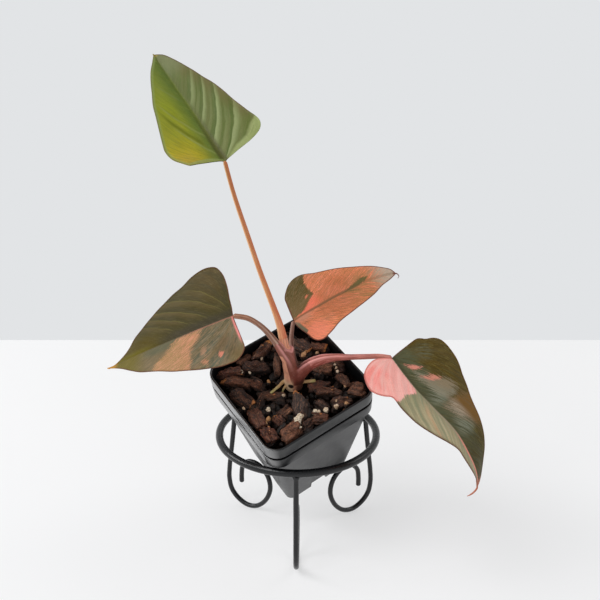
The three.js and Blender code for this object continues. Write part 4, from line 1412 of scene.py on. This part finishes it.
def petioles():
    for name, stem in STEMS.items():
        start = stem["joint"] - STEM_OVERLAP
        rings, fields = stem_tube(stem, start, len(stem["route"]) - 1, STALK_STEPS)
        faces = ring_faces(STALK_STEPS, STALK_SIDES)
        piece = add_mesh(name + "_stalk", rings.reshape(-1, 3), faces, fields)
        finish_piece(piece, petiole_material(name, stem), stem["slot"], name)


def sheath():
    """The sheath's rings: up its outside to the wavy lip, and one ring inside the lip."""
    centres, radii = stem_line(SHEATH, 0, len(SHEATH) - 1, SHEATH_STEPS)
    angles = circle(SHEATH_SIDES)
    lip_wave = -1.5 * np.cos(angles) + 0.55 * np.sin(3 * angles + 0.6) + 0.35 * np.cos(5 * angles)
    outside = radii * (1 + LIP_FLARE * smooth_step(np.linspace(0, 1, SHEATH_STEPS), 0.85, 1))
    inside = radii - SHEATH_WALL
    along = unit(centres[-1] - centres[-2])
    lift = smooth_step(np.arange(SHEATH_STEPS), SHEATH_STEPS - 16, SHEATH_STEPS - 1)
    wave = lift[:, None, None] * lip_wave[None, :, None] * along
    outer = sweep(centres, outside, outside * SHEATH_DEPTH, SHEATH_SIDES) + wave
    inner = sweep(centres, inside, inside * SHEATH_DEPTH, SHEATH_SIDES) + wave
    return np.concatenate([outer, inner[-1:]])


def crown_parts():
    """The stems' feet, the sheath, the roots and the crown's own foot, each as rings with fields."""
    parts = []
    for name, stem in STEMS.items():
        rings, fields = stem_tube(stem, 0, stem["joint"], STALK_FOOT_STEPS)
        count = STALK_FOOT_STEPS * STALK_SIDES
        fields["warm"] = np.full(count, float(name == "petiole_tall"))
        fields["mauve"] = np.full(count, float(name in ("petiole_left", "petiole_back")))
        parts.append((rings, fields))
    rings = sheath()
    steps, sides = rings.shape[:2]
    lip = np.repeat(bell(np.arange(steps) - steps + 2.5, 1.6), sides)
    parts.append((rings, {"mauve": np.full(len(lip), 0.7), "lip": lip}))
    for root in ROOTS:
        centres, radii = stem_line(root, 0, len(root) - 1, ROOT_STEPS)
        radii = radii * (1 + ROOT_KNOTS * rough(centres, 0.8, 5))
        root_share = np.repeat(np.linspace(0.4, 1, ROOT_STEPS), ROOT_SIDES)
        parts.append((sweep(centres, radii, radii, ROOT_SIDES), {"root": root_share}))
    heights, radii = np.array(CROWN_FOOT).T
    steps = np.linspace(heights[0], heights[-1], FOOT_STEPS)
    centres = from_pot([(*CROWN_AXIS, height) for height in steps])
    radii = np.interp(steps, heights, radii)
    parts.append((sweep(centres, radii, radii, FOOT_SIDES), {}))
    return parts


def grown_together(parts):
    """One object whose skin runs round all the parts."""
    pieces = []
    for rings, _ in parts:
        pieces.append(add_mesh("part", rings.reshape(-1, 3), ring_faces(*rings.shape[:2])))
    whole = pieces[0]
    with bpy.context.temp_override(
        active_object=whole, object=whole, selected_editable_objects=pieces, selected_objects=pieces
    ):
        bpy.ops.object.join()
    whole.name = "crown_base"
    step = whole.modifiers.new("remesh", "REMESH")
    step.mode = "VOXEL"
    step.voxel_size = CROWN_GRAIN * MM
    smooth = whole.modifiers.new("smooth", "SMOOTH")
    smooth.iterations = CROWN_SMOOTHING
    apply_modifiers(whole)
    shade_smooth(whole.data)
    return whole


def nearest_fields(skin, parts):
    """The parts' fields at each point of the skin, as the mean of the points nearest to it."""
    names = ["run", "round_x", "round_y", "lip", "warm", "mauve", "root"]
    points = np.concatenate([rings.reshape(-1, 3) for rings, _ in parts])
    values = []
    for rings, fields in parts:
        blank = np.zeros(rings.shape[0] * rings.shape[1])
        values.append(np.stack([fields.get(name, blank) for name in names], 1))
    values = np.concatenate(values)
    tree = KDTree(len(points))
    for index, point in enumerate(points.tolist()):
        tree.insert(point, index)
    tree.balance()
    taken = [
        values[[index for _, index, _ in tree.find_n(point, NEAREST_POINTS)]].mean(axis=0)
        for point in skin.tolist()
    ]
    return dict(zip(names, np.array(taken).T))


def crown(material):
    """All the parts grown into one skin, which takes its fields from the nearest part."""
    parts = crown_parts()
    whole = grown_together(parts)
    skin = mesh_points(whole.data)
    fields = nearest_fields(skin, parts)
    heights, edges = np.array(STRIP_EDGE).T
    fields["rise"] = to_pot(skin)[:, 2] - MIX_LEVEL
    fields["side"] = skin[:, 0] - CROWN_SCAR[0]
    fields["strip"] = skin[:, 0] - np.interp(skin[:, 2], heights, edges, left=9, right=-99)
    fields["scar"] = np.linalg.norm(skin - CROWN_SCAR, axis=1)
    add_fields(whole.data, fields)
    finish_piece(whole, material, "stem_pink", "crown")


def crown_material():
    s = stem_shader("crown_skin", (102, 50, 36), 0.44)
    rise = s.field("rise")
    side = s.field("side")
    mauve = s.field("mauve")
    root = s.field("root")
    s.layer((126, 62, 50), s.step(rise, 3, 13))
    s.mottle((176, 98, 88), rise, 15, 30, 0.8)
    s.layer((128, 80, 64), mauve, 0.8)
    s.layer((126, 62, 48), mauve, s.step(rise, 24, 12, 0, 0.5))
    s.layer((226, 156, 124), s.step(s.field("warm"), 0.3, 0.7))
    s.layer((222, 156, 126), s.step(s.plus(s.field("strip"), s.times(s.streaks, 0.6)), 0.6, 0.1))
    s.mottle((94, 46, 42), s.streaks, 0.42, 0.66, 0.4)
    s.mottle((168, 104, 92), s.blotches, 0.5, 0.75, 0.25)
    low = s.step(s.plus(rise, s.times(s.blotches, 4)), 16, 8)
    s.layer((216, 182, 146), low, s.step(side, 2.2, 0))
    s.layer((66, 34, 26), low, s.step(side, 1.2, 4, 0, 0.85))
    root_colour = s.mix(s.step(root, 0.75, 1), srgb(192, 156, 112), srgb(188, 180, 118))
    root_colour = s.mix(s.step(s.blotches, 0.45, 0.7, 0, 0.5), root_colour, srgb(156, 118, 72))
    s.layer(root_colour, s.step(root, 0.2, 0.5))
    s.layer((230, 158, 152), s.field("lip"), 0.75)
    s.layer((10, 8, 8), s.step(s.field("scar"), 2.1, 1.2))
    s.mottle((222, 178, 166), s.specks, 0.55, 0.8, 0.2)
    return s.painted()


# Bark chips in the pot's frame: place, length and width, heading, rise of the far end, top, how red
# it is (grey below 0), and how far fresh orange wood reaches in from the far end (the near one
# below 0), as a share of the chip.
CHIPS = [
    (-0.4, 29.2, 16, 6, 17, 14, -1.5, 0.2, 0.2), (-9, 22.5, 16, 5.5, -33, 0, -3, 0.3, 0),
    (-23.5, 27.5, 15, 6, -23, 0, -1.5, 0.7, 0), (-22.8, 20, 19, 7.5, -46, 5, -2, 0.4, -0.3),
    (-27.2, 8.3, 15, 9, -72, -8, -2, 0.2, 0.12), (-13.3, 1.2, 17, 5, -46, 0, -4, 0.1, 0),
    (2.8, 18, 19, 4, 61, -8, -3.5, 0, 0), (-3.6, -14.8, 15.5, 9, 46, 10, -1.5, -0.7, 0.17),
    (15, -16.8, 14, 5, -40, 4, -3, 0.3, 0), (12.5, -9.6, 12, 5, -18, -6, -4, 0.9, 0),
    (20.7, -0.6, 13, 8, -61, 6, -2.5, -0.1, 0), (20.6, 19.3, 13, 7, -75, 0, -3, -0.2, 0.1),
    (28.4, 12.6, 10, 6, -58, 0, -3, 0.2, 0.25), (-26.5, -7.3, 16, 7.5, 82, -4, -2, 0.5, 0),
    (-27, -20.4, 9, 7, 86, 10, -2, 0.8, 0), (-17.2, -26.2, 12, 9, 5, 0, -1.5, 0.2, 0),
    (0.2, -27.4, 9.5, 7.5, -41, 0, -2.5, 0.4, 0), (-7.6, -27.6, 8, 5, 14, 0, -3.5, 0.3, 0),
    (25.4, -14.6, 12, 4.5, -89, 6, -2.5, -0.1, 0), (28.2, -25.4, 11, 8, -50, 0, -3, -0.2, 0),
    (-11.6, -12.4, 9, 6.5, 15, 0, -3.5, 0.1, 0), (-18.6, -15.4, 8, 6, 87, 0, -3.5, 0.6, 0.3),
    (29.4, -4, 10, 5.5, -63, 0, -3.5, -0.3, 0), (-14.6, 11.4, 10, 5.5, -66, 0, -4, 0.5, 0),
    (16.6, -26.6, 11, 5.5, -20, 0, -3, 0.1, 0), (12, 27, 14, 6, 8, 0, -3.5, 0, 0),
    (-11.5, 30, 9, 5, 20, 0, -3.5, 0.1, 0), (13.2, 8.4, 12, 5.5, -30, 0, -5, 0, 0),
    (6.6, -20.8, 8, 5.5, -75, 0, -4, -0.3, 0), (-20, 0.4, 9, 5, 30, 0, -4.5, 0.3, 0),
]
# Perlite and crumbs of pale wood: place, size across, top, and how tan it is.
GRAINS = [
    (-10.6, -22.8, 4.8, -0.9, 0), (-8.2, -21.8, 3.6, -1.2, 0), (5.8, -25.6, 3.2, -3, 0.15),
    (0.2, -24, 3.2, -2.6, 0.1), (11.4, -27.2, 2.8, -3, 0.3), (17.2, -29, 2.4, -3.2, 0.8),
    (-12.1, -27, 1.9, -2.6, 0), (-22.9, -12.7, 2.8, -2, 0.9), (27.2, -4.8, 1.7, -2.4, 0.2),
    (26.5, -7, 1.5, -2.5, 0.3), (25.7, -9.2, 1.8, -2.6, 0.2), (13.8, -24.6, 1.6, -3.2, 0.5),
    (-25.4, -14, 2.2, -2.4, 0.8), (-17.7, 23.2, 2.2, -2.6, 0), (-18.8, -6.4, 2, -3.4, 0),
    (-6.9, -3.6, 2, -4, 0.25), (-8.6, 9.4, 1.9, -4.4, 0.9), (17.4, 12.4, 3.2, -3, 0.8),
    (20, 13.4, 2.2, -3.2, 0.9), (24.6, 9, 2, -3.4, 0.7), (-19.5, -7.3, 2.4, -3, 0.1),
    (-3.4, 24.6, 1.6, -3.6, 0.2), (-14.2, 20.2, 1.5, -3.6, 0.1), (2, -24.6, 2.2, -3, 0.2),
    (-29.6, 1.6, 1.7, -3.4, 0.5), (23.6, -19.4, 1.8, -3.2, 0.7), (9, 22.6, 1.7, -3.6, 0.6),
]
MOUTH_REACH = 32.8
MOUTH_CORNER = 7.4
CHIP_ROOT = 1.2
FILL_CHIPS = 46
CRUMBS = 260
SPLINTERS = 16
CROWN_ROOM = 6.4
SHADED_DEPTH = (-3.4, -6.6)
BED_STEPS = 60
BED_RING = (6, 14)
BED_WAIST = -50


def sphere_net(levels):
    """Directions and faces of an even net over a sphere."""
    net = bmesh.new()
    bmesh.ops.create_icosphere(net, subdivisions=levels, radius=1)
    directions = unit(np.array([tuple(corner.co) for corner in net.verts]))
    faces = np.array([[corner.index for corner in face.verts] for face in net.faces])
    net.free()
    return directions, faces


def broken_block(directions, chance, cuts, hardness=12):
    """How far a block with broken corners reaches from its middle, in each direction."""
    normals = np.concatenate([np.eye(3), -np.eye(3), unit(chance.normal(size=(cuts, 3)))])
    reaches = np.concatenate([np.ones(6), chance.uniform(0.74, 1.12, cuts)])
    facing = np.maximum(directions @ normals.T, 0) / reaches
    return (facing**hardness).sum(axis=1) ** (-1 / hardness)


def keep_inside(points):
    """Pulls points in the pot's frame back behind its wall."""
    straight = MOUTH_REACH - MOUTH_CORNER
    level = points[:, :2]
    core = np.clip(level, -straight, straight)
    beyond = level - core
    length = np.linalg.norm(beyond, axis=1, keepdims=True)
    points[:, :2] = core + beyond * np.minimum(1, MOUTH_CORNER / np.maximum(length, 1e-9))
    points[:, 2] = np.minimum(points[:, 2], 0.2)
    return points


class Heap:
    """Loose lumps gathered into one mesh."""

    def __init__(self):
        self.points = []
        self.faces = []
        self.fields = {}
        self.count = 0

    def add(self, points, faces, **fields):
        self.faces.append(faces + self.count)
        self.points.append(points)
        self.count += len(points)
        for field, values in fields.items():
            self.fields.setdefault(field, []).append(np.broadcast_to(values, len(points)))

    def piece(self, name):
        fields = {field: np.concatenate(values) for field, values in self.fields.items()}
        points = from_pot(np.concatenate(self.points))
        return add_mesh(name, points, np.concatenate(self.faces).tolist(), fields)


def add_chip(heap, net, chance, middle, size, heading, tip, red=0.0, orange=0.0, shade=0.0):
    """A chip of bark with torn layers, whose grain runs along its length."""
    directions, faces = net
    half = np.array(size) / 2
    points = directions * broken_block(directions, chance, 10)[:, None] * half
    offset = chance.uniform(0, 90, 3)
    layers = rough(points * (0.16, 0.75, 0.95) + offset, 1)
    lumps = rough(points * 0.42 + offset, 1, 4)
    fine = rough(points * (0.7, 1.9, 2.2) + offset, 1, 8)
    steps = np.sin(points[:, 2] * 4.2 + 5 * layers)
    swell = (0.34 * layers + 0.26 * lumps + 0.1 * fine + 0.05 * steps) * min(half.min(), 3)
    grain = points + offset
    bare = 0.0
    if orange:
        toward_end = np.sign(orange) * points[:, 0] / half[0]
        bare = smooth_step(toward_end + 0.25 * lumps, 1 - 2 * abs(orange), 1)
    points = points + unit(points) * swell[:, None]
    turn = rotation("Z", math.radians(heading)) @ rotation("Y", math.radians(-tip))
    points = keep_inside(points @ turn.T + middle)
    # Painted shade: a chip is painted darker the lower it lies (deep), and its tone drops by its shade, for
    # the shadow between chips.
    deep = smooth_step(points[:, 2], *SHADED_DEPTH)
    tone = chance.uniform(0, 1) - shade
    heap.add(points, faces, deep=deep, grain_x=grain[:, 0], grain_y=grain[:, 1], grain_z=grain[:, 2],
             tone=tone, red=red, bare=bare)


def bark_chips(material):
    heap = Heap()
    net = sphere_net(5)
    chance = np.random.default_rng(11)
    for x, y, length, width, heading, tip, top, red, orange in CHIPS:
        thickness = min(top - MIX_LEVEL + CHIP_ROOT, 0.85 * width + 1.6)
        middle = np.array([x, y, top - thickness / 2])
        add_chip(heap, net, chance, middle, (length, width * 1.06, thickness), heading, tip, red, orange)
    finish_piece(heap.piece("bark_chips"), material, "bark", "bark_mix")


def bark_fill(material):
    """Lower chips, crumbs and splinters that close the gaps between the large chips."""
    heap = Heap()
    net = sphere_net(4)
    small_net = sphere_net(3)
    chance = np.random.default_rng(5)
    crown_place = np.array(CROWN_AXIS)

    def free_place():
        while True:
            place_in_pot = chance.uniform(-31, 31, 2)
            if np.linalg.norm(place_in_pot - crown_place) > CROWN_ROOM:
                return place_in_pot

    # The fill's chips, grains and crumbs get a shade that paints them darker, as the shadow in the gaps.
    for _ in range(FILL_CHIPS):
        x, y = free_place()
        top = chance.uniform(-7, -4.4)
        size = (chance.uniform(5, 10), chance.uniform(2.8, 4.8), top - MIX_LEVEL + CHIP_ROOT)
        middle = np.array([x, y, top - size[2] / 2])
        add_chip(heap, net, chance, middle, size, chance.uniform(0, 360), chance.uniform(-14, 14),
                 chance.uniform(-0.5, 0.8), chance.choice([0, 0, 0, 0.12]), 1.1)
    for x, y, across, top, _ in GRAINS:
        low = top - 0.6 * across
        middle = np.array([x, y, (low + MIX_LEVEL - CHIP_ROOT) / 2])
        size = (across * 1.5, across * 1.3, low - MIX_LEVEL + CHIP_ROOT + 0.8)
        add_chip(heap, net, chance, middle, size, chance.uniform(0, 360), 0,
                 chance.uniform(-0.3, 0.6), 0, 0.8)
    for _ in range(CRUMBS):
        x, y = free_place()
        across = chance.uniform(0.9, 2.8)
        size = across * np.array([chance.uniform(1, 1.9), 1, chance.uniform(0.6, 1)])
        middle = np.array([x, y, MIX_LEVEL + chance.uniform(0.1, 0.6) * across])
        add_chip(heap, small_net, chance, middle, size, chance.uniform(0, 360), chance.uniform(-30, 30),
                 chance.uniform(-0.6, 1), chance.choice([0, 0, 0, 0, 0.4]), 1.2)
    for _ in range(SPLINTERS):
        x, y, length, width, heading, tip, top, red, _ = CHIPS[chance.integers(len(CHIPS))]
        middle = np.array([x, y, top]) + chance.uniform(-0.3, 0.3, 3) * (length * 0.5, width, 1)
        size = (chance.uniform(3.5, 7), chance.uniform(0.7, 1.3), chance.uniform(0.7, 1.1))
        add_chip(heap, small_net, chance, middle, size, heading + chance.uniform(-25, 25), tip, red, 0.3)
    finish_piece(heap.piece("bark_fill"), material, "bark", "bark_mix")


def perlite(material):
    heap = Heap()
    directions, faces = sphere_net(4)
    chance = np.random.default_rng(3)
    for x, y, across, top, tan in GRAINS:
        half = across / 2 * np.array([chance.uniform(1, 1.25), 1, chance.uniform(0.8, 1)])
        points = directions * broken_block(directions, chance, 12, 9)[:, None] * half * 0.9
        swell = 0.22 * rough(points * 1.1, 1, x) + 0.16 * rough(points * 3, 1, y)
        points = points + directions * (swell * half.min())[:, None]
        points = points @ rotation("Z", chance.uniform(0, 6)).T + (x, y, top - half[2])
        heap.add(keep_inside(points), faces, tan=tan)
    finish_piece(heap.piece("perlite_grains"), material, "bark", "bark_mix")


def mix_bed(material):
    """The dark crumbly filling: its rough top, and its sides and floor inside the pot."""
    inset = WALL + CLEARANCE
    neck = (RIM_SIDE - 2 * inset - 2 * MOUTH_TAPER) / 2
    floor_top = -POT_DEPTH + SKIRT_HEIGHT + WALL + CLEARANCE
    rings = []
    for step in range(1, BED_STEPS + 1):
        share = step / BED_STEPS
        corner = max((RIM_CORNER - inset) * share, 0.01)
        ring = square_ring(neck * share, corner, MIX_LEVEL, *BED_RING)
        lumps = rough(ring, 0.32, 3) * 1.3 + rough(ring, 0.9, 9) * 0.8 - 0.5
        ring[:, 2] += lumps * (1 if step < BED_STEPS else 0.3)
        rings.append(ring)
    for height in (-BAND_HEIGHT, BED_WAIST, floor_top):
        rings.append(square_ring(*body_station(height, inset), *BED_RING))
    faces = ring_faces(len(rings), len(rings[0]))
    piece = add_mesh("mix_bed", from_pot(np.concatenate(rings)), faces)
    finish_piece(piece, material, "bark", "bark_mix")


def bed_material():
    s = Shader("mix_dark", (6, 4, 3), 0.92, Specular_IOR_Level=0.05)
    where = s.where()
    lumps = s.grain(where, 420, 5, 0.7)
    cells = s.cells(where, 700)
    s.layer((30, 19, 14), s.step(lumps, 0.35, 0.7))
    s.mottle((62, 42, 32), cells, 0.3, 0.1, 0.4)
    s.set("Normal", s.bump(s.plus(lumps, s.times(cells, 0.6)), 1.2, 0.9))
    return s.painted()


def bark_material():
    s = Shader("bark_chips", (22, 12, 8), 0.7, Specular_IOR_Level=0.45)
    x = s.field("grain_x")
    y = s.field("grain_y")
    z = s.field("grain_z")

    def woody(along, across, through, scale, detail, roughness=0.55):
        """Noise that follows the chip's own grain."""
        vector = s.join(s.times(x, along), s.times(y, across), s.times(z, through))
        return s.grain(vector, scale, detail, roughness)

    layers = woody(0.14, 0.8, 1.1, 1, 5, 0.65)
    fibres = woody(0.35, 2.6, 3.2, 1, 4, 0.6)
    blotches = woody(1, 1, 1, 0.32, 3)
    burnt = woody(0.5, 1, 1, 0.5, 3)
    pits = woody(1, 1, 1, 2.4, 4, 0.7)
    tone = s.plus(s.times(s.field("tone"), 0.3), s.times(layers, 0.9))
    red = s.field("red")
    s.layer((138, 86, 58), s.step(tone, 0.3, 0.9))
    s.layer((112, 52, 32), s.step(s.plus(red, s.times(blotches, 0.8)), 0.3, 1.5, 0, 0.75))
    s.mottle((82, 72, 68), red, 0, -0.8, 0.6)
    s.mottle((22, 13, 10), burnt, 0.5, 0.62, 0.6)
    s.mottle((188, 130, 94), fibres, 0.53, 0.68, 0.75)
    s.mottle((10, 6, 5), pits, 0.54, 0.4, 0.9)
    bare = s.step(s.plus(s.field("bare"), s.sway(pits, 1.6)), 0.3, 0.8)
    s.layer(s.mix(fibres, srgb(236, 158, 88), srgb(158, 88, 46)), bare, 0.9)
    # Painted shade: near black over the chips' low parts.
    s.layer((12, 7, 5), s.field("deep"), 0.8)
    s.set("Roughness", s.plus(s.times(pits, 0.4), 0.4))
    height = s.plus(s.times(layers, 0.5), s.times(fibres, 0.3), s.times(pits, 0.4))
    s.set("Normal", s.bump(height, 0.9, 0.8))
    return s.painted()


def perlite_material():
    s = Shader("perlite_cream", (244, 228, 202), 0.85, Specular_IOR_Level=0.25)
    where = s.where()
    pits = s.grain(where, 1500, 4, 0.7)
    s.layer((196, 134, 76), s.field("tan"))
    s.layer((176, 134, 92), s.step(s.grain(where, 330, 3), 0.46, 0.64, 0, 0.55))
    s.mottle((96, 68, 46), pits, 0.5, 0.36, 0.7)
    s.set("Normal", s.bump(pits, 0.5, 0.8))
    return s.painted()


# The studio's own places and sizes are in metres. The camera's place is in the stand's millimetres.
FLOOR_SIDE = 2.5
FLOOR_BACK = 0.314
LAMPS = [
    ("key", (-0.9, -0.6, 1.6), 1.0, 14),
    ("window", (-1.5, 0.15, 0.95), 0.6, 10),
    ("fill", (1.2, 0.2, 1.1), 0.7, 3.5),
]
LAMP_AIM = (0, 0, 0.1)
CAMERA_PLACE = (1.3, -419.2, 293.5)
CAMERA_DIP = 19.28


def studio_floor():
    """A pale floor that ends a little way behind the plant, where the room's light takes over."""
    mesh = bpy.data.meshes.new("floor")
    corners = [
        (x, y, 0)
        for x, y in [(-FLOOR_SIDE, -FLOOR_SIDE), (FLOOR_SIDE, -FLOOR_SIDE),
                     (FLOOR_SIDE, FLOOR_BACK), (-FLOOR_SIDE, FLOOR_BACK)]
    ]
    mesh.from_pydata(corners, [], [(0, 1, 2, 3)])
    s = Shader("floor_white", (162, 162, 163), 0.6, Emission_Strength=0.56)
    cloud = s.grain(s.where(), 3, 3)
    s.layer((168, 168, 169), cloud)
    s.set("Emission Color", s.mix(cloud, srgb(246, 246, 246), srgb(250, 250, 250)))
    mesh.materials.append(s.painted())
    floor = add_object("floor", mesh)


def room():
    """Even light from all round, dimmer from above."""
    world = bpy.data.worlds.new("room")
    world.use_nodes = True
    tree = world.node_tree
    background = tree.nodes["Background"]
    background.inputs["Color"].default_value = srgb(226, 228, 230)
    heights = tree.nodes.new("ShaderNodeSeparateXYZ")
    tree.links.new(tree.nodes.new("ShaderNodeTexCoord").outputs["Generated"], heights.inputs["Vector"])
    dimmed = tree.nodes.new("ShaderNodeMapRange")
    tree.links.new(heights.outputs["Z"], dimmed.inputs["Value"])
    for socket, value in [("From Min", 0.25), ("From Max", 0.95), ("To Min", 1.0), ("To Max", 0.3)]:
        dimmed.inputs[socket].default_value = value
    tree.links.new(dimmed.outputs["Result"], background.inputs["Strength"])
    bpy.context.scene.world = world


def lamps():
    """Soft lamps that face the plant."""
    for name, place_at, size, energy in LAMPS:
        light = bpy.data.lights.new(name, "AREA")
        light.size = size
        light.energy = energy
        lamp = add_object(name, light)
        lamp.location = place_at
        lamp.rotation_euler = (Vector(LAMP_AIM) - Vector(place_at)).to_track_quat("-Z", "Y").to_euler()


def camera():
    lens = bpy.data.cameras.new("camera")
    lens.sensor_width = 36
    lens.lens = 48
    lens.clip_start = 0.01
    lens.clip_end = 20
    eye = add_object("camera", lens)
    eye.location = place(CAMERA_PLACE)
    eye.rotation_euler = (math.radians(90 - CAMERA_DIP), 0, 0)
    bpy.context.scene.camera = eye
    bpy.context.scene.view_settings.view_transform = "Standard"


wire = wire_material()
stand_ring(wire)
for leg in LEGS:
    stand_leg(*leg, wire)
pot(pot_material())
groove_shadow_strip(painted_groove_shade())
mix_bed(bed_material())
bark = bark_material()
bark_chips(bark)
bark_fill(bark)
perlite(perlite_material())
crown(crown_material())
petioles()
make_blades()
studio_floor()
room()
lamps()
camera()
